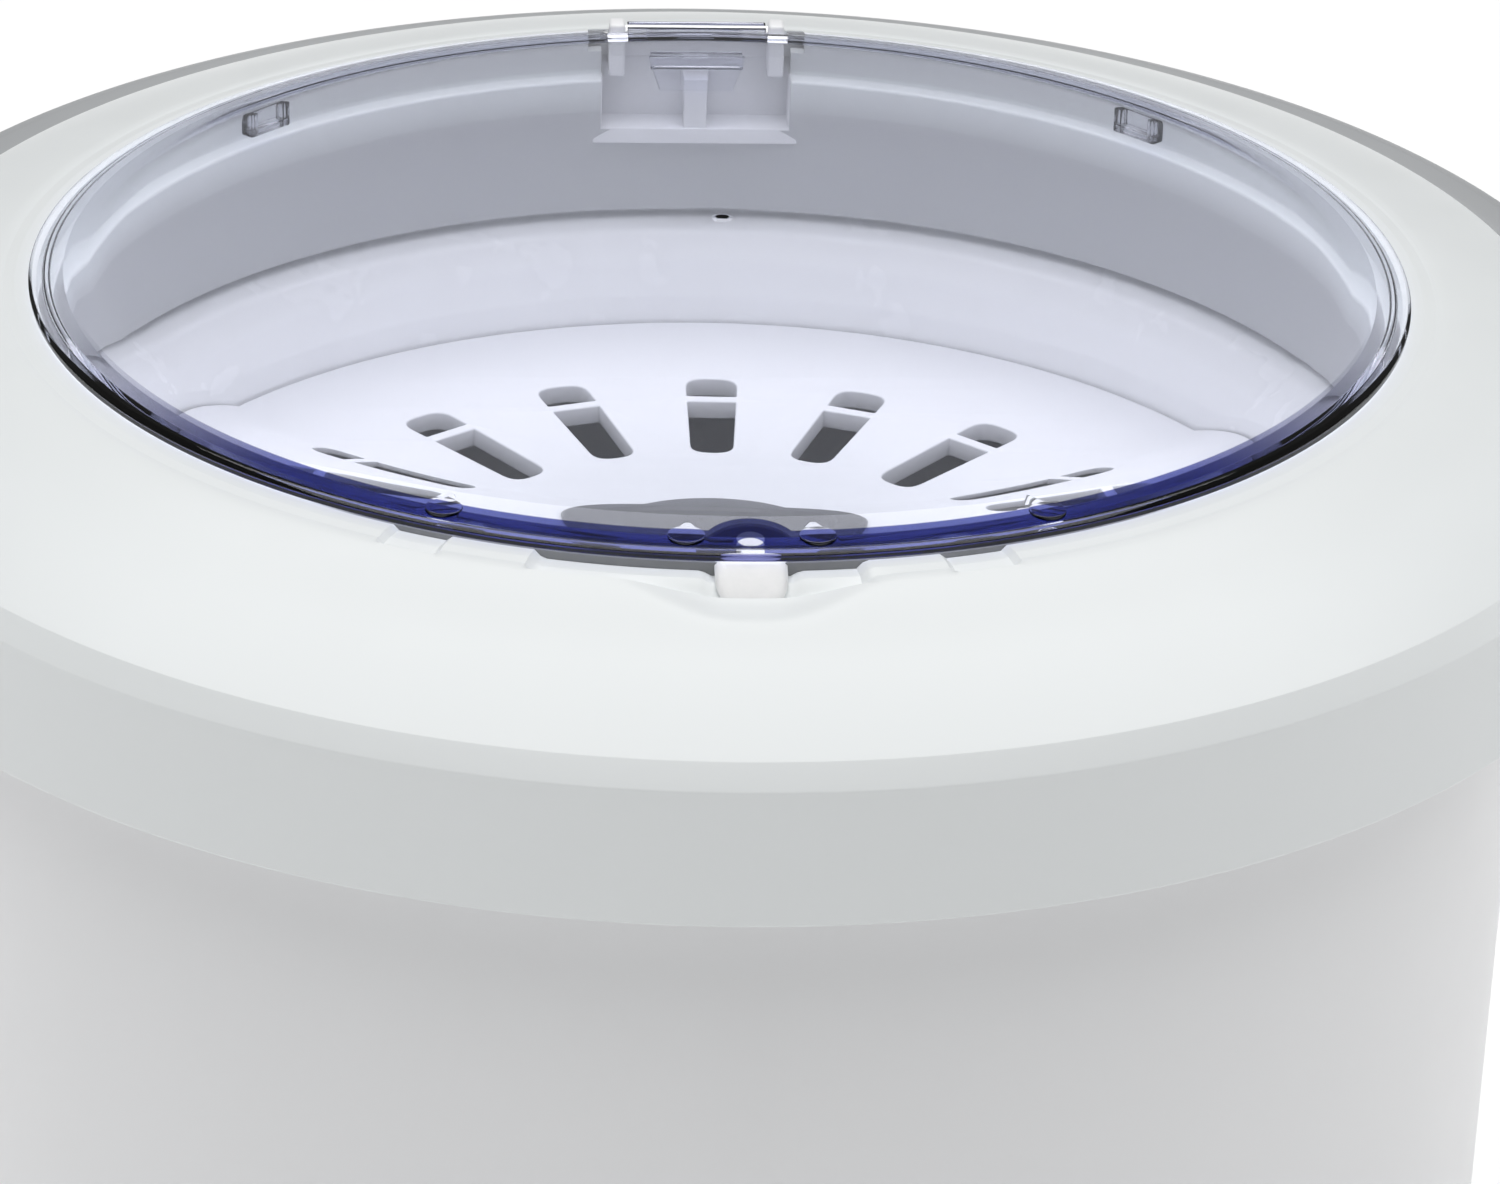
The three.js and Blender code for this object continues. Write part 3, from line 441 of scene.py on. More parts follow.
def frosted_material(name):
    material, tree, shader = new_material(name)
    haze = noise(tree, 300, 3)
    tree.links.new(
        tinted(tree, spread(tree, haze, 0, 1), (0.80, 0.805, 0.81), (0.86, 0.862, 0.865)),
        shader.inputs["Base Color"],
    )
    tree.links.new(spread(tree, haze, 0.18, 0.28), shader.inputs["Roughness"])
    shader.inputs["Subsurface Weight"].default_value = 0.6
    shader.inputs["Subsurface Radius"].default_value = (1, 1, 1)
    shader.inputs["Subsurface Scale"].default_value = 0.004
    tree.links.new(bump(tree, noise(tree, 1400, 2), 0.15, 0.00004), shader.inputs["Normal"])
    return material


# The cover's second colour is painted shade on its inner walls; the third is a painted shadow on the lip
# under the lid's front.
COVER = cover_material("cover_white", (0.775, 0.80, 0.805), (0.59, 0.60, 0.61), (0.24, 0.245, 0.25))
# Painted light: the hinge box takes the cover's plastic a shade lighter, so that its shaded niche reads pale.
LIT_TRAY = moulded("tray_white", (0.88, 0.885, 0.90), (0.90, 0.905, 0.92), 0.35, grain=0.05)
BODY = moulded("body_white", (0.80, 0.805, 0.815), (0.82, 0.825, 0.835), 0.36, grain=0.18)
# The tub's white is its own colour, made lighter than the cover's as painted light, standing for the light
# its translucent walls pass and bounce into the shaded tub.
TUB = moulded("tub_white", (0.935, 0.94, 0.95), (0.95, 0.955, 0.965), 0.26, grain=0.04)
# The plate's second colour is painted shade for its middle.
PLATE = plate_material("plate_white", (0.79, 0.795, 0.815), (0.64, 0.65, 0.665))
HUB = moulded("hub_grey", (0.12, 0.123, 0.13), (0.15, 0.153, 0.16), 0.34, grain=0.1)
KNOB = moulded("knob_white", (0.775, 0.80, 0.805), (0.79, 0.815, 0.82), 0.30, grain=0.08)
GREY = moulded("grey_plastic", (0.36, 0.37, 0.38), (0.42, 0.43, 0.44), 0.38, grain=0.2)
DARK = moulded(
    "dark_plastic", (0.055, 0.058, 0.062), (0.085, 0.088, 0.092), 0.5, grain=0.35, grain_scale=1500
)
STEEL = metal("bright_steel", (0.58, 0.59, 0.60), (0.72, 0.73, 0.74), 0.24)
PLATED = metal("plated_steel", (0.50, 0.51, 0.50), (0.64, 0.64, 0.61), 0.34, (1, 12, 1))
CAST = metal("cast_metal", (0.40, 0.41, 0.42), (0.55, 0.56, 0.57), 0.5, (1, 1, 1), 500, 0.6)
CAN = metal("capacitor_can", (0.58, 0.59, 0.60), (0.70, 0.71, 0.72), 0.3, (1, 1, 18))
RUBBER = rubber_material("black_rubber")
CLEAR = clear_material("clear_plastic")
FROST = frosted_material("frosted_plastic")

SLOT_LOOK = {
    "cover_plastic": COVER,
    "body_plastic": BODY,
    "tub_plastic": TUB,
    "grey_plastic": GREY,
    "dark_plastic": DARK,
    "clear_plastic": CLEAR,
    "frosted_plastic": FROST,
    "bright_steel": STEEL,
    "plated_steel": PLATED,
    "cast_metal": CAST,
    "capacitor_can": CAN,
    "black_rubber": RUBBER,
}


# ---------------------------------------------------------------- top cover

# each notch: degrees from the front, to the right, and the share of the bead's rise it takes away
NOTCHES = ((-15.9, 8.3, 0.62), (-3.4, 3.4, 1.0), (-27.6, -23.4, 0.4), (15.0, 19.6, 0.4))


def smooth_step(value, low, high):
    t = np.clip((value - low) / (high - low), 0.0, 1.0)
    return t * t * (3 - 2 * t)


def crown(radius):
    """Height of the cover's crowned top at a radius, in millimetres above the rim."""
    t = (radius - 142.5) / (180 - 142.5)
    return 13.5 * (1 - 0.42 * t - 0.58 * t**2.2)


def warp_cover(verts):
    """Raises the bead towards the front, notches it, and sinks the finger scoop in front of the tab."""
    x, y, z = (verts / MM).T
    z = z - RIM / MM
    radius = np.hypot(x, y)
    azimuth = np.degrees(np.arctan2(x, -y))
    upper = smooth_step(z, 4.5, 9.0) * (radius > 133.0)
    near = 1 - smooth_step(radius, 140.5, 160.0)
    rise = BEAD_RISE * (HINGE_Y - y) / LID_SPAN * near
    notch = np.zeros_like(x)
    for low, high, depth in NOTCHES:
        across = smooth_step(azimuth, low - 0.3, low) * (1 - smooth_step(azimuth, high, high + 0.3))
        notch = np.maximum(notch, depth * across)
    rise = rise * (1 - notch * (radius < 141.5) * (radius > 134.65))
    across = np.abs(x) / (13.0 + 1.35 * np.clip(152.0 - radius, 0, 12))
    width = 1 - smooth_step(across, 0.15, 1.0)
    along = smooth_step(radius, 138.6, 142.5) * (1 - smooth_step(radius, 143.5, 153.0))
    scoop = 3.0 * width * along * (y < 0)
    verts[:, 2] += (rise - scoop) * upper * MM
    return verts


def build_cover():
    beside_bead = (142.6, 143.6, 144.8, 146.2, 147.8, 149.4, 151, 152.6)
    crest = [(r, crown(r), 0) for r in (*beside_bead, *np.linspace(155, 178.5, 11))]
    corners = [
        (136.5, -29.0, 0.6),
        (129.5, -3.0, 4.0),
        (129.5, 4.0, 0.8),
        (133.4, 4.0, 0.5),
        (133.5, 13.3, 0.2),
        (134.6, 13.5, 0.05),
        (134.7, 13.5, 0.05),
        (135.3, 13.7, 0.4),
        (138.4, 13.8, 1.2),
        (140.6, 13.45, 0.8),
        (141.4, 13.5, 0.6),
        *crest,
        (180.0, 0.0, 0.7),
        (183.2, -4.4, 1.0),
        (184.7, -30.0, 0.7),
        (181.9, -30.0, 0.4),
        (180.0, -6.0, 1.0),
        (177.5, -2.0, 1.0),
        (165.5, 4.8, 1.0),
        (143.0, 10.2, 1.0),
        (136.6, 10.6, 0.5),
        (136.6, 1.0, 0.5),
        (132.3, 1.0, 0.5),
        (139.2, -29.0, 0.6),
    ]
    cover = lathe("cover_moulding", soften(corners), 720, RIM, 35, warp_cover)
    step_corners = [
        (163.8, -11.5, 0),
        (182.9, -11.5, 0),
        (183.1, -4.4, 0.8),
        (179.9, 0.1, 0.6),
        (166.5, 5.5, 0),
        (163.8, 6, 0),
    ]
    step = lathe("step", soften(step_corners), 480, RIM, 35)
    half = box_mesh("half", (-0.3, -0.010, 0.3), (0.3, 0.3, 0.6), 0)
    boolean(step, half, "INTERSECT")
    boolean(cover, step, "UNION")
    tool = lathe("recess", [(166.8, -8.5), (200, -8.5), (200, 20), (166.8, 20)], 480, RIM)
    half = box_mesh("half", (-0.3, -0.007, 0.3), (0.3, 0.3, 0.6), 0)
    boolean(tool, half, "INTERSECT")
    boolean(cover, tool)
    boolean(cover, box_mesh("pocket", (-0.0235, 0.120, RIM + 0.009), (0.0235, 0.1374, RIM + 0.03), 0))
    boolean(cover, box_mesh("niche", (-0.0206, 0.120, RIM - 0.0078), (0.0206, 0.1384, RIM + 0.0095), 0))
    shade(cover, 35)
    return dress(cover, COVER)


def build_hinge_box():
    """The niche behind the lid's tongue, the tray over it and the ears that hold the hinge pin."""
    half, wall, back = 0.0203, 0.0022, 0.1380
    floor, foot = RIM - 0.0075, RIM - 0.0110
    parts = [
        box_mesh("floor", (-half - wall + 0.0002, 0.1295, foot), (half + wall - 0.0002, back + wall, floor)),
        box_mesh("back", (-half - wall, back, foot), (half + wall, back + wall, RIM + 0.0070)),
        box_mesh("left", (-half - wall, 0.1308, foot + 0.0004), (-half, back + wall, RIM + 0.0040)),
        box_mesh("right", (half, 0.1308, foot + 0.0004), (half + wall, back + wall, RIM + 0.0040)),
        box_mesh("rib", (-0.0025, 0.1300, foot + 0.001), (0.0025, back + 0.001, RIM + 0.0040)),
        box_mesh("tray", (-0.0265, 0.1376, RIM + 0.0060), (0.0265, 0.1395, RIM + 0.0090)),
        box_mesh("tray_back", (-0.0265, 0.1374, RIM + 0.0060), (0.0265, 0.1395, RIM + 0.0118)),
    ]
    for x in (0.0155, -0.019):
        parts.append(box_mesh("post", (x, 0.1304, RIM + 0.0038), (x + 0.0035, 0.1384, RIM + 0.0090), 0.0006))
        parts.append(box_mesh("ear", (x, 0.1304, RIM + 0.0078), (x + 0.0035, 0.1356, RIM + 0.0172), 0.0008))
    # Painted light: a lighter copy of the cover's plastic.
    return dress(merge("hinge_tray", parts, 35), LIT_TRAY)


place(build_cover(), "housing", "cover_plastic", "top_cover")
place(build_hinge_box(), "housing", "cover_plastic")


# ---------------------------------------------------------------- body and base

body_outline = soften(
    [
        (160.4, 34.0, 0.6),
        (164.0, 421.0, 0.8),
        (178.5, 421.7, 0.5),
        (178.5, 424.7, 0.5),
        (161.0, 424.7, 0.8),
        (161.0, 421.0, 0.8),
        (157.4, 34.0, 0.4),
    ],
    4,
)


def bar(radius, start, end, x, y, z, axis, segments=48):
    """A round bar along an axis, from start to end in millimetres, for cutting holes."""
    tool = lathe("bar", [(0, start), (radius, start), (radius, end), (0, end)], segments)
    turn = {"X": (math.pi / 2, "Y"), "Y": (-math.pi / 2, "X"), "Z": (0.0, "Z")}[axis]
    tool.data.transform(Matrix.Rotation(turn[0], 4, turn[1]))
    tool.data.transform(Matrix.Translation((x * MM, y * MM, z * MM)))
    return tool


def build_body():
    """The tapered shell, with its rear vents and the holes for timer, cord and drain."""
    shell = lathe("body_moulding", body_outline, 320)
    for degrees in (-36, -28, -20, 20, 28, 36):
        vent = box_mesh("vent", (0.140, -0.002, 0.092), (0.180, 0.002, 0.128), 0.0)
        vent.data.transform(Matrix.Rotation(math.radians(90 + degrees), 4, "Z"))
        boolean(shell, vent)
    boolean(shell, bar(5, -180, -140, 0, 0, 230, "Y"))
    boolean(shell, bar(7.9, 140, 180, 0, 0, 80, "Y"))
    boolean(shell, bar(14, -180, -140, 0, 0, 100, "X"))
    for k in range(3):
        turn = TAU * k / 3
        boss = lathe("boss", [(2, 34), (7, 34), (7, 56), (2, 56)], 40)
        boss.data.transform(Matrix.Translation((0.1515 * math.cos(turn), 0.1515 * math.sin(turn), 0)))
        boolean(shell, boss, "UNION")
    shade(shell, 35)
    return dress(shell, BODY)


place(build_body(), "housing", "body_plastic", "body_shell")

# ---------------------------------------------------------------- lid

DOME_R = 127.5


def tilt(y):
    """Rise of the closed lid at a y value in millimetres: it rests a little high at the front."""
    return FRONT_RISE * (HINGE_Y - y) / LID_SPAN


def tilted(verts):
    """Tilts the lid, keeps its skirt deep at the front only and thins its edge at the back."""
    x, y, z = (verts / MM).T
    facing = -y / np.maximum(np.hypot(x, y), 1e-6)
    low = (np.hypot(x, y) > 130) & (z < RIM / MM + 8)
    verts[:, 2] += np.where(low, (FLANGE - 6.1) * (1 - smooth_step(facing, 0.30, 0.50)), 0) * MM
    rim_part = (np.hypot(x, y) > 130) & (z > RIM / MM + FLANGE)
    over = z - RIM / MM - FLANGE
    thinner = 0.55 * (1 - smooth_step(facing, 0.10, 0.50)) * smooth_step(np.hypot(x, y), 128, 134)
    verts[:, 2] -= np.where(rim_part, over * thinner, 0) * MM
    verts[:, 2] += tilt(y) * MM
    return verts


def dome(radius):
    return 25.0 - 8.0 * (radius / DOME_R) ** 2


def build_lid():
    top = [(r, dome(r), 0) for r in (0, 0.9, 1.5, 2.2, 4, 10, 18, 28, 42, 56, 70, 84, 98, 110, 119, 124)]
    top[0] = (0, dome(0) - 0.25, 0)
    top[1] = (0.9, dome(0) - 0.22, 0)
    under = [(r, dome(r) - 2.2, 0) for r in (124, 119, 110, 98, 84, 70, 56, 42, 28, 16, 8, 3, 0)]
    corners = [
        *top,
        (DOME_R, dome(DOME_R), 1.2),
        (134.9, FLANGE + 2.0, 0.8),
        (LID_R, FLANGE + 1.2, 0.4),
        (LID_R, FLANGE, 0.3),
        (132.7, FLANGE, 0.2),
        (132.6, 6.0, 0.4),
        (131.4, 6.0, 0.4),
        (131.3, FLANGE, 0.2),
        (128.6, FLANGE + 0.1, 0.4),
        *under,
    ]
    shell = lathe("lid_moulding", soften(corners), 360, RIM, 50, tilted)
    knuckle = lathe("knuckle", soften([(0, -15, 0), (3.0, -15, 0.4), (3.0, 15, 0.4), (0, 15, 0)], 3), 48)
    knuckle.data.transform(Matrix.Rotation(math.pi / 2, 4, "Y"))
    knuckle.data.transform(Matrix.Translation((0, 0.133, RIM + 0.015)))
    for v in knuckle.data.vertices:
        v.co.z = min(v.co.z, RIM + (FLANGE + 2.1) * MM)
    boolean(shell, knuckle, "UNION")
    for x in (0.0151, -0.0195):
        boolean(shell, box_mesh("gap", (x, 0.126, RIM), (x + 0.0044, 0.14, RIM + 0.03), 0))
    tongue = box_mesh("tongue", (-0.0105, 0.1266, RIM + 0.002), (0.0105, 0.1284, RIM + 0.0098), 0)
    for v in tongue.data.vertices:
        if v.co.z < RIM + 0.004:
            v.co.x *= 0.76
    bm = bmesh.new()
    bm.from_mesh(tongue.data)
    bmesh.ops.bevel(bm, geom=list(bm.edges), offset=0.0006, segments=3, affect="EDGES", profile=0.5)
    bm.to_mesh(tongue.data)
    bm.free()
    boolean(shell, tongue, "UNION")
    link = box_mesh("link", (-0.0100, 0.1272, RIM + 0.0066), (0.0100, 0.1314, RIM + 0.0094), 0.0003)
    boolean(shell, link, "UNION")
    mark_outline = soften([(0, -1.2, 0), (3.4, -1.2, 0), (3.4, 0.4, 0.25), (0, 0.5, 0)], 3)
    for degrees in (-95.0, -84.7, -114.6, -65.6):
        turn = math.radians(degrees)
        x, y = 130.6 * math.cos(turn), 130.6 * math.sin(turn)
        level = FLANGE + 2.5 + tilt(y)
        mark = lathe("gate_mark", mark_outline, 40)
        mark.data.transform(Matrix.Translation((x * MM, y * MM, RIM + level * MM)))
        boolean(shell, mark, "UNION")
    shade(shell, 50)
    return dress(shell, CLEAR)


place(build_lid(), "lid", "clear_plastic", "lid")


# ---------------------------------------------------------------- tab and clips


def build_tab():
    """A frosted tongue with a round end that slopes down from under the lid's front edge."""
    rows, columns = 14, 17
    verts = []
    for side in (1, -1):
        for i in range(rows):
            t = i / (rows - 1)
            reach = 133.2 + 11.4 * t
            round_start = 0.42
            half = 6.5
            if t > round_start:
                half *= math.sqrt(max(0.0, 1 - ((t - round_start) / (1 - round_start)) ** 2 * 0.985))
            level = 13.2 + FRONT_RISE - 5.0 * t**1.3
            thick = 1.15 * (1 - 0.25 * t)
            for j in range(columns):
                s = -1 + 2 * j / (columns - 1)
                edge = math.sqrt(max(0.0, 1 - abs(s) ** 5))
                verts.append((s * half * MM, -reach * MM, RIM + (level + side * thick * edge) * MM))
    faces = []
    layer = rows * columns
    for side in (0, 1):
        for i in range(rows - 1):
            for j in range(columns - 1):
                a = side * layer + i * columns + j
                faces.append([a, a + 1, a + columns + 1, a + columns])
    rim_loop = [j for j in range(columns)]
    rim_loop += [i * columns + columns - 1 for i in range(1, rows)]
    rim_loop += [(rows - 1) * columns + j for j in range(columns - 2, -1, -1)]
    rim_loop += [i * columns for i in range(rows - 2, 0, -1)]
    for n, a in enumerate(rim_loop):
        b = rim_loop[(n + 1) % len(rim_loop)]
        faces.append([a, b, layer + b, layer + a])
    return dress(make_object("finger_tab", verts, faces, 60), FROST)


place(build_tab(), "lid", "frosted_plastic", "lid_finger_tab")


def build_clip(name, degrees):
    parts = [
        box_mesh("base", (0.1262, -0.0056, RIM + 0.0074), (0.1294, 0.0056, RIM + 0.0090)),
        box_mesh("left", (0.1262, -0.0056, RIM + 0.0074), (0.1290, -0.0036, RIM + 0.0126)),
        box_mesh("right", (0.1262, 0.0036, RIM + 0.0074), (0.1290, 0.0056, RIM + 0.0126)),
        box_mesh("back", (0.1284, -0.0056, RIM + 0.0074), (0.1294, 0.0056, RIM + 0.0126)),
    ]
    clip = merge(name, parts, 30)
    clip.data.transform(Matrix.Rotation(math.radians(degrees), 4, "Z"))
    return dress(clip, CLEAR)


for side, degrees in (("left", 136), ("right", 44)):
    place(build_clip("clip_" + side, degrees), "lid", "clear_plastic", "lid_clip_" + side)


# ---------------------------------------------------------------- handle


def build_handle():
    section = soften(
        [
            (168.6, -8.0, 1.2),
            (182.2, -8.0, 1.2),
            (182.2, 2.0, 3.0),
            (177.0, 3.6, 4.0),
            (171.0, 3.6, 3.0),
            (168.6, 1.5, 2.0),
        ],
        4,
    )
    steps = 180
    count = len(section)
    verts, faces = [], []
    for k in range(steps + 1):
        angle = math.pi * k / steps
        for radius, height in section:
            verts.append((radius * MM * math.cos(angle), radius * MM * math.sin(angle), RIM + height * MM))
    for k in range(steps):
        for i in range(count):
            j = (i + 1) % count
            faces.append([k * count + i, k * count + j, (k + 1) * count + j, (k + 1) * count + i])
    faces.append(list(range(count)))
    faces.append([steps * count + i for i in range(count)])
    bail = make_object("handle_bail", verts, faces, 40)
    level = RIM + (-8 + 3.5) / 2 * MM
    eyes = []
    for side in (1, -1):
        outline = soften([(0, 168.6, 0), (5.75, 168.6, 0.6), (5.75, 181.9, 0.6), (0, 181.9, 0)], 3)
        eye = lathe("eye", outline, 48)
        eye.data.transform(Matrix.Rotation(side * math.pi / 2, 4, "Y"))
        eye.data.transform(Matrix.Translation((0, 0, level)))
        eyes.append(eye)
    return dress(merge("handle_bail", [bail, *eyes], 40), GREY)


place(build_handle(), "handle", "grey_plastic", "carry_handle")


# ---------------------------------------------------------------- tub, plate and hub

tub_outline = soften(
    [
        (7.2, -271, 0.2),
        (7.2, -266, 0.2),
        (12, -266, 0.2),
        (12, -258, 0.5),
        (30, -258, 2.0),
        (34, -268, 3.0),
        (107, -268, 12.0),
        (119, -255, 12.0),
        (124, -59.7, 0.6),
        (124, -56.6, 0.6),
        (128, -56.6, 0.5),
        (128, -46, 6.0),
        (129.6, -38.2, 6.0),
        (133.5, -32.8, 5.0),
        (140, -30.6, 1.2),
        (140, -12, 0.6),
        (176.5, -12, 0.5),
        (176.5, -15, 0.5),
        (143, -15, 1.0),
        (143, -33, 2.0),
        (133.5, -38, 2.0),
        (131, -46, 3.0),
        (131, -60, 2.0),
        (127, -63, 2.0),
        (122, -258, 10.0),
        (108, -271, 10.0),
    ],
    5,
)


def build_tub():
    """The tub with its drain stub, and the holes for the cover's screws."""
    shell = lathe("tub_moulding", tub_outline, 256, RIM)
    stub = lathe("stub", soften([(0, 155, 0), (9.5, 155, 0.5), (9.5, 170.5, 0), (0, 170.5, 0)], 3), 48)
    stub.data.transform(Matrix.Translation((-0.085, 0, 0)))
    boolean(shell, stub, "UNION")
    boolean(shell, bar(7.5, 150, 175, -85, 0, 0, "Z"))
    for k in range(4):
        turn = math.radians(45 + 90 * k)
        x, y = 150 * math.cos(turn), 150 * math.sin(turn)
        boolean(shell, bar(2.4, 420, 432, x, y, 0, "Z", 24))
    shade(shell, 40)
    return dress(shell, TUB)


place(build_tub(), "housing", "tub_plastic", "wash_tub")


def build_plate():
    """The drain plate: a disc with radial slots that a ring rib crosses."""
    curve = bpy.data.curves.new("plate_curve", "CURVE")
    curve.dimensions = "2D"
    curve.fill_mode = "BOTH"
    curve.extrude = 0.0017
    curve.bevel_depth = 0.0004
    curve.bevel_resolution = 2

    def loop(points):
        spline = curve.splines.new("POLY")
        spline.points.add(len(points) - 1)
        for point, (x, y) in zip(spline.points, points):
            point.co = (x * MM, y * MM, 0, 1)
        spline.use_cyclic_u = True

    loop([(126.8 * math.cos(TAU * k / 256), 126.8 * math.sin(TAU * k / 256)) for k in range(256)])
    loop([(28.7 * math.cos(TAU * k / 96), 28.7 * math.sin(TAU * k / 96)) for k in range(96)])

    def half_width(radius):
        return 4.8 + 1.2 * (radius - 58) / 39

    for index in range(18):
        turn = math.radians(90 - 2 + 20 * index)
        for inner, outer, round_in, round_out in ((58, 85, True, False), (87, 97, False, True)):
            points = []
            a, b = half_width(inner), half_width(outer)
            corner_in = 4.4 if round_in else 0.8
            corner_out = 5.2 if round_out else 0.8
            shape = [
                (inner, -a, corner_in),
                (outer, -b, corner_out),
                (outer, b, corner_out),
                (inner, a, corner_in),
            ]
            cosine, sine = math.cos(turn), math.sin(turn)
            for x, y in soften(shape, 5):
                points.append((x * cosine - y * sine, x * sine + y * cosine))
            loop(points)
    holder = bpy.data.objects.new("plate_holder", curve)
    bpy.context.scene.collection.objects.link(holder)
    bpy.context.view_layer.update()
    depsgraph = bpy.context.evaluated_depsgraph_get()
    mesh = bpy.data.meshes.new_from_object(holder.evaluated_get(depsgraph))
    bpy.data.objects.remove(holder)
    plate = bpy.data.objects.new("plate_moulding", mesh)
    bpy.context.scene.collection.objects.link(plate)
    mesh.transform(Matrix.Translation((0, 0, RIM - 0.0541)))
    bm = bmesh.new()
    bm.from_mesh(mesh)
    bmesh.ops.remove_doubles(bm, verts=bm.verts, dist=1e-7)
    bmesh.ops.recalc_face_normals(bm, faces=bm.faces)
    bm.to_mesh(mesh)
    bm.free()
    shade(plate, 35)
    return dress(plate, PLATE)


place(build_plate(), "drain_plate", "tub_plastic", "drain_plate")

hub_outline = soften(
    [
        (0, -56.2, 0),
        (27.8, -56.2, 0.5),
        (27.8, -51.7, 0.3),
        (32.3, -51.7, 0.5),
        (31.3, -49.8, 1.2),
        (25.5, -49.2, 2.0),
        (20.0, -50.6, 2.0),
        (0, -51.0, 0),
    ],
    4,
)
place(dress(lathe("hub_cap", hub_outline, 128, RIM), HUB), "drain_plate", "hub_plastic", "plate_hub")


# ---------------------------------------------------------------- base, feet, controls and drain


def turned_along(name, corners, axis, at, segments=96, steps=4):
    """A turned piece whose length runs along an axis, at a point in millimetres."""
    piece = lathe(name, soften(corners, steps), segments)
    turns = {"-X": (-math.pi / 2, "Y"), "+Y": (-math.pi / 2, "X"), "-Y": (math.pi / 2, "X")}
    if axis != "+Z":
        angle, about = turns[axis]
        piece.data.transform(Matrix.Rotation(angle, 4, about))
    piece.data.transform(Matrix.Translation(Vector(at) * MM))
    return piece


def round_hole(piece, radius, bottom, top, x, y):
    boolean(piece, bar(radius, bottom, top, x, y, 0, "Z", 32))


def build_base():
    corners = [
        (0, 15, 0),
        (158.4, 15, 2.0),
        (160.4, 18, 1.0),
        (160.4, 33.7, 0.5),
        (157.4, 33.7, 0.5),
        (157.4, 19, 1.0),
        (0, 19, 0),
    ]
    pan = lathe("base_pan_moulding", soften(corners, 4), 320)
    pillar = [(0, 16, 0), (7, 16, 0), (7, 61.7, 0.6), (0, 61.7, 0)]
    for x, y in ((-52, 54), (52, 54), (-52, 126), (52, 126)):
        boolean(pan, turned_along("pillar", pillar, "+Z", (x, y, 0), 48), "UNION")
        round_hole(pan, 2.3, 42, 63, x, y)
    socket = [(15.8, 16, 0), (18.5, 16, 0), (18.5, 31, 0.5), (15.8, 31, 0.5)]
    boolean(pan, turned_along("socket", socket, "+Z", (92, -46, 0), 64), "UNION")
    screw_pad = [(0, 16, 0), (7, 16, 0), (7, 33.7, 0), (0, 33.7, 0)]
    for k in range(3):
        x, y = 151.5 * math.cos(TAU * k / 3), 151.5 * math.sin(TAU * k / 3)
        boolean(pan, turned_along("pad", screw_pad, "+Z", (x, y, 0), 48), "UNION")
        round_hole(pan, 2.4, 0, 40, x, y)
    for k in range(6):
        slot = box_mesh("slot", (0.044, -0.003, 0.0), (0.072, 0.003, 0.030), 0.0)
        slot.data.transform(Matrix.Rotation(math.radians(30 + 60 * k), 4, "Z"))
        boolean(pan, slot)
    shade(pan, 35)
    return dress(pan, DARK)


place(build_base(), "housing", "dark_plastic", "base_pan")

FOOT = [
    (0, 0, 0),
    (10, 0, 0.6),
    (11, 0.8, 0.5),
    (13.5, 0.4, 0.5),
    (15, 2, 0.8),
    (15, 12, 1.5),
    (13.5, 14.7, 0.4),
    (0, 14.7, 0),
]
for end, y in (("front", -88), ("rear", 88)):
    for side, x in (("left", -88), ("right", 88)):
        corner = end + "_" + side
        pad = dress(turned_along("pad_" + corner, FOOT, "+Z", (x, y, 0), 64), RUBBER)
        place(pad, "housing", "black_rubber", "foot_" + corner)


def build_panel():
    """The curved plate behind the timer knob, with a ring of shallow ticks."""
    outline = soften([(162.8, 185, 0), (165.4, 185, 0.4), (165.4, 275, 0.4), (162.8, 275, 0)], 3)
    ring = lathe("ring", outline, 480)
    window = box_mesh("window", (-0.048, -0.18, 0.185), (0.048, -0.12, 0.275), 0.0)
    bm = bmesh.new()
    bm.from_mesh(window.data)
    upright = [e for e in bm.edges if abs(e.verts[0].co.y - e.verts[1].co.y) > 0.01]
    bmesh.ops.bevel(bm, geom=upright, offset=0.010, segments=10, affect="EDGES", profile=0.5)
    bm.to_mesh(window.data)
    bm.free()
    boolean(ring, window, "INTERSECT")
    boolean(ring, bar(5, -180, -140, 0, 0, 230, "Y"))
    for k in range(12):
        turn = math.radians(30 * k)
        tick = box_mesh("tick", (0.0262, -0.18, -0.0005), (0.0302, -0.16505, 0.0005), 0.0)
        tick.data.transform(Matrix.Rotation(turn, 4, "Y"))
        tick.data.transform(Matrix.Translation((0, 0, 0.230)))
        boolean(ring, tick)
    shade(ring, 35)
    return dress(ring, GREY)


def build_knob():
    """A round dial with a raised grip; its hub is bored for the timer's shaft."""
    corners = [(0, -3.4, 0), (21.4, -3.4, 0.4), (22, -2.8, 0.4), (22, 1, 0.8), (20, 3, 1.4), (0, 3, 0)]
    dial = turned_along("timer_dial", corners, "-Y", (0, 0, 0), 96)
    grip = box_mesh("grip", (-0.004, -0.0130, -0.019), (0.004, 0.0, 0.019), 0.0016, 4)
    boolean(dial, grip, "UNION")
    boolean(dial, bar(3.3, -9.8, 10, 0, 0, 0, "Y", 32))
    boolean(dial, box_mesh("pointer", (-0.0006, -0.020, 0.012), (0.0006, -0.0127, 0.0185), 0.0))
    dial.data.transform(Matrix.Translation((0, -0.1696, 0.230)))
    shade(dial, 35)
    return dress(dial, KNOB)


place(build_panel(), "housing", "grey_plastic", "control_panel")
place(build_knob(), "timer_knob", "cover_plastic", "timer_knob")


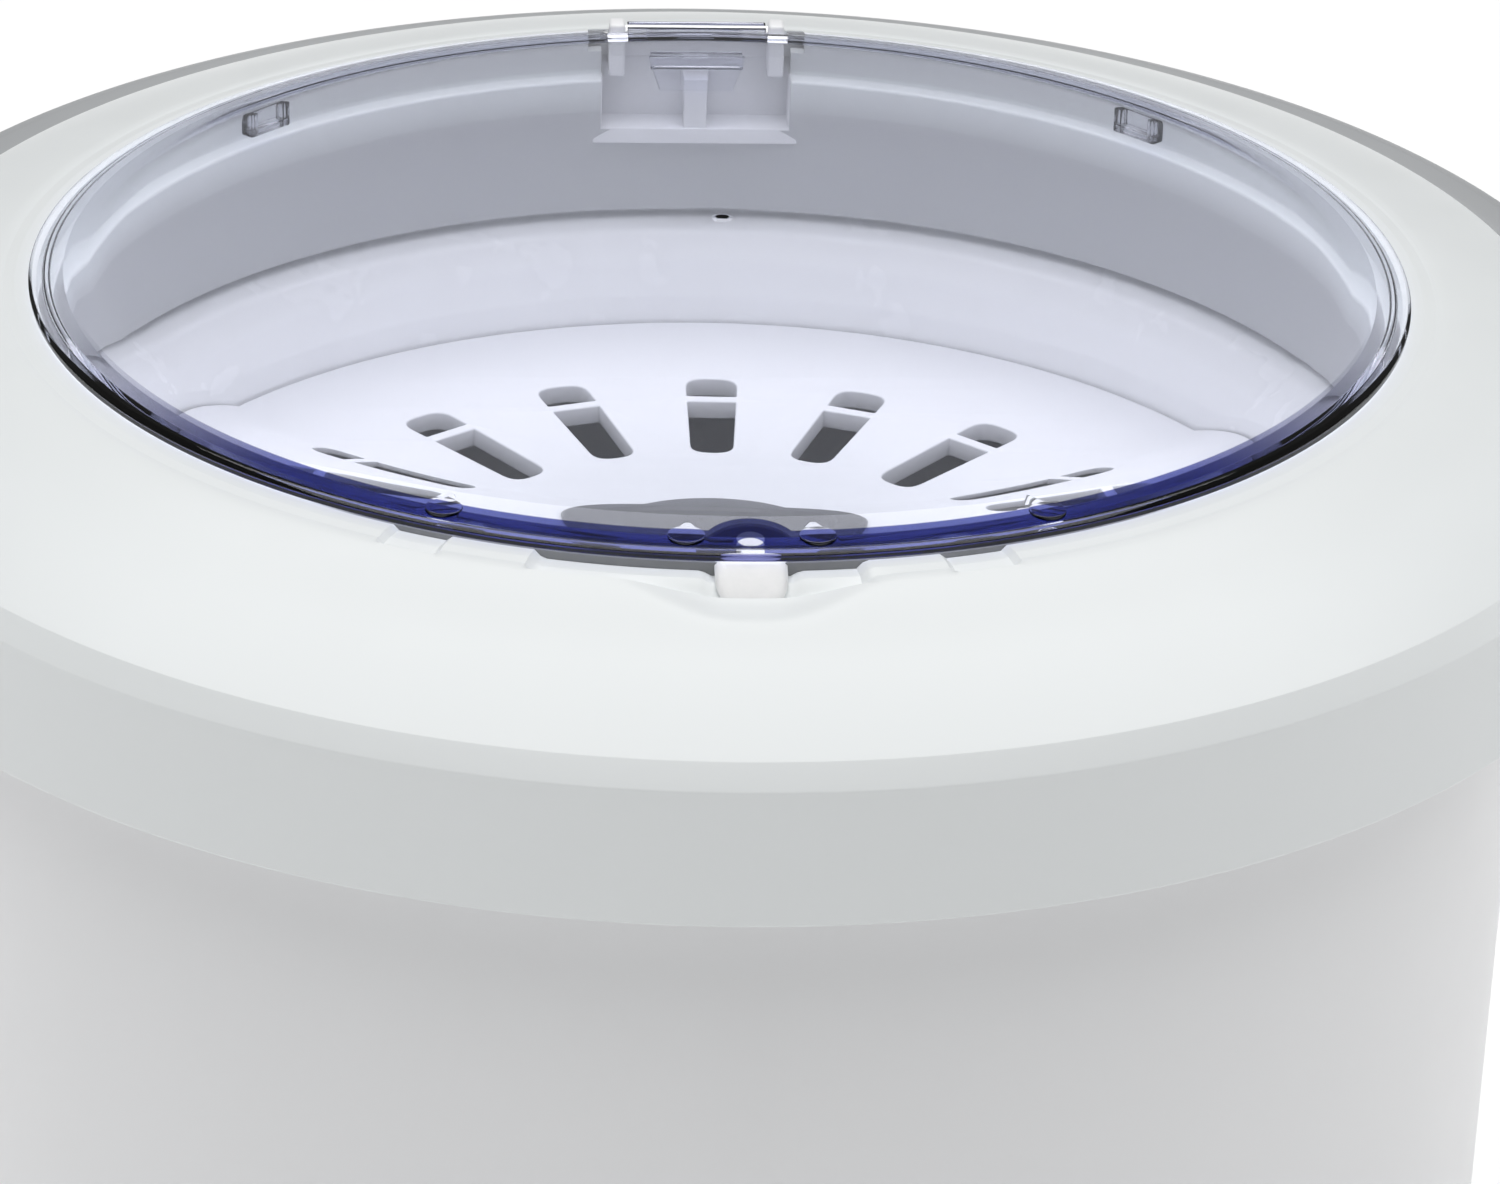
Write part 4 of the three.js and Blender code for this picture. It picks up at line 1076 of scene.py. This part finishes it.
def build_drain_pipe():
    """A bent hose from under the tub to the side of the body."""
    path = [(-85.0, 165.0), (-85.0, 122.0)]
    for k in range(1, 17):
        t = k / 16
        x = (1 - t) ** 2 * -85 + 2 * t * (1 - t) * -85 + t * t * -107
        z = (1 - t) ** 2 * 122 + 2 * t * (1 - t) * 100 + t * t * 100
        path.append((x, z))
    path.append((-172.0, 100.0))
    rings = []
    for i, (x, z) in enumerate(path):
        a, b = path[max(i - 1, 0)], path[min(i + 1, len(path) - 1)]
        along = Vector((b[0] - a[0], 0, b[1] - a[1])).normalized()
        rings.append((Vector((x, 0, z)), along.cross(Vector((0, 1, 0)))))
    segments = 48
    verts, faces = [], []
    for radius, order in ((13.0, rings), (10.2, rings[::-1])):
        for centre, side in order:
            for k in range(segments):
                turn = TAU * k / segments
                offset = side * math.cos(turn) + Vector((0, 1, 0)) * math.sin(turn)
                verts.append((centre + offset * radius) * MM)
    total = 2 * len(path)
    for i in range(total):
        j = (i + 1) % total
        for k in range(segments):
            m = (k + 1) % segments
            faces.append([i * segments + k, i * segments + m, j * segments + m, j * segments + k])
    return dress(make_object("drain_hose", verts, faces, 35), GREY)


place(build_drain_pipe(), "housing", "grey_plastic", "drain_pipe")

CAP = [
    (0, 175, 0),
    (13.7, 175, 0.3),
    (13.7, 164.5, 0.3),
    (16.4, 164.5, 0.5),
    (16.4, 182, 1.2),
    (14, 184, 1.2),
    (5.0, 183.4, 1.0),
    (0, 183.4, 0),
]
drain_cover = dress(turned_along("drain_stopper", CAP, "-X", (0, 0, 100)), DARK)
place(drain_cover, "drain_cap", "dark_plastic", "drain_cap")

CORD_WALL = 160.4 + 3.6 * (80 - 34) / 387.4  # radius of the body's outside at the cord, 80 mm up
GLAND = [
    (3.5, CORD_WALL - 10, 0.4),
    (10, CORD_WALL - 10, 0.6),
    (10, CORD_WALL - 4.8, 0.3),
    (7.4, CORD_WALL - 4.8, 0.3),
    (7.4, CORD_WALL + 0.4, 0.3),
    (11, CORD_WALL + 0.4, 0.5),
    (9, CORD_WALL + 7, 1.0),
    (3.5, CORD_WALL + 7, 0.5),
]
gland = dress(turned_along("gland_moulding", GLAND, "+Y", (0, 0, 80), 64), RUBBER)
place(gland, "housing", "black_rubber", "cord_gland")


# ---------------------------------------------------------------- drive


def build_pulsator():
    """A low disc with four rounded fins and a hub that the screw sits in."""
    base = 184.5
    corners = [
        (6.3, base, 0.3),
        (96, base, 0.5),
        (98, base + 2.5, 1.2),
        (95, base + 5, 1.5),
        (45, base + 6.5, 8.0),
        (24, base + 13.5, 6.0),
        (16, base + 17.5, 2.0),
        (9, base + 17.5, 0.6),
        (9, base + 15, 0.2),
        (3, base + 15, 0.2),
        (3, base + 12, 0.2),
        (6.3, base + 12, 0.2),
    ]
    disc = lathe("pulsator_moulding", soften(corners, 5), 160)
    for k in range(4):
        fin = lathe("fin", [(math.sin(math.pi * i / 24), -math.cos(math.pi * i / 24)) for i in range(25)], 48)
        fin.data.transform(Matrix.Diagonal((36, 8, 15, 1)))
        fin.data.transform(Matrix.Rotation(0.25, 4, "Z"))
        fin.data.transform(Matrix.Translation((0.056, 0, (base + 3.5) * MM)))
        fin.data.transform(Matrix.Rotation(TAU * k / 4, 4, "Z"))
        boolean(fin, box_mesh("under", (-0.12, -0.12, 0.15), (0.12, 0.12, (base + 0.6) * MM), 0))
        boolean(fin, bar(16, base - 1, base + 30, 0, 0, 0, "Z"))
        boolean(disc, fin, "UNION")
    shade(disc, 40)
    return dress(disc, TUB)


place(build_pulsator(), "pulsator", "tub_plastic", "pulsator")


# ---------------------------------------------------------------- carried-over CAD nodes

REPLACED = {
    "top_cover", "body_shell", "lid", "lid_finger_tab", "lid_clip_left", "lid_clip_right",
    "carry_handle", "wash_tub", "drain_plate", "plate_hub", "base_pan", "foot_front_left",
    "foot_front_right", "foot_rear_left", "foot_rear_right", "control_panel", "timer_knob",
    "drain_pipe", "drain_cap", "cord_gland", "pulsator",
}
slots = {row["node"]: row["material_slot"] for row in frame["record"]["subparts"]}
for name, node in NODES.items():
    if name in REPLACED:
        continue
    dress(node, SLOT_LOOK[slots[name]])
    edge = node.modifiers.new("edge", "BEVEL")
    edge.width = 0.0003
    edge.segments = 2
    edge.limit_method = "ANGLE"
    edge.angle_limit = math.radians(50)
    shade(node, 35)


# ---------------------------------------------------------------- floor, light, camera


def build_floor():
    bm = bmesh.new()
    bmesh.ops.create_grid(bm, x_segments=8, y_segments=8, size=6.0)
    mesh = bpy.data.meshes.new("floor")
    bm.to_mesh(mesh)
    bm.free()
    floor = bpy.data.objects.new("floor", mesh)
    bpy.context.scene.collection.objects.link(floor)
    material, tree, shader = new_material("floor_white")
    tree.links.new(
        tinted(tree, noise(tree, 4), (0.93, 0.93, 0.93), (0.95, 0.95, 0.95)), shader.inputs["Base Color"]
    )
    shader.inputs["Roughness"].default_value = 0.9
    shader.inputs["Specular IOR Level"].default_value = 0.1
    dress(floor, material)


def area_light(name, place_at, target, size, power, colour=(1, 1, 1)):
    data = bpy.data.lights.new(name, "AREA")
    data.shape = "RECTANGLE"
    data.size, data.size_y = size
    data.energy = power
    data.color = colour
    lamp = bpy.data.objects.new(name, data)
    bpy.context.scene.collection.objects.link(lamp)
    lamp.location = place_at
    aim = Vector(target) - Vector(place_at)
    lamp.rotation_euler = aim.to_track_quat("-Z", "Y").to_euler()
    return lamp


def build_light():
    world = bpy.data.worlds.new("studio")
    bpy.context.scene.world = world
    world.use_nodes = True
    background = world.node_tree.nodes["Background"]
    background.inputs["Color"].default_value = (1, 1, 1, 1)
    background.inputs["Strength"].default_value = 0.12
    data = bpy.data.lights.new("overhead", "SUN")
    data.energy = 2.95
    data.angle = math.radians(90)
    lamp = bpy.data.objects.new("overhead", data)
    bpy.context.scene.collection.objects.link(lamp)
    area_light("right_light", (2.6, 0.6, 0.5), (0, 0, 0.3), (1.6, 1.4), 8)
    area_light("left_light", (-2.6, -0.2, 0.5), (0, 0, 0.3), (1.6, 1.4), 5.5)


def build_camera():
    """The photograph's view: a long lens above the front, a little to the left and a little rolled."""
    pitch, roll, turn = 0.4539, 0.0286, math.radians(3.24)
    data = bpy.data.cameras.new("camera")
    data.sensor_width = 36.0
    data.lens = 144.0
    data.clip_end = 50
    camera = bpy.data.objects.new("camera", data)
    bpy.context.scene.collection.objects.link(camera)
    sp, cp = math.sin(pitch), math.cos(pitch)
    forward = Vector((0, cp, -sp))
    level = Vector((1, 0, 0))
    down = Vector((0, -sp, -cp))
    right = math.cos(roll) * level - math.sin(roll) * down
    low = math.sin(roll) * level + math.cos(roll) * down
    spin = Matrix.Rotation(-turn, 3, "Z")
    axes = [spin @ right, spin @ -low, spin @ -forward]
    matrix = Matrix.Identity(4)
    for column, axis in enumerate(axes):
        for row in range(3):
            matrix[row][column] = axis[row]
    matrix.translation = Vector((-0.05413, -1.09022, 0.91728))
    camera.matrix_world = matrix
    bpy.context.scene.camera = camera


build_floor()
build_light()
build_camera()
bpy.context.scene.view_settings.view_transform = "Standard"
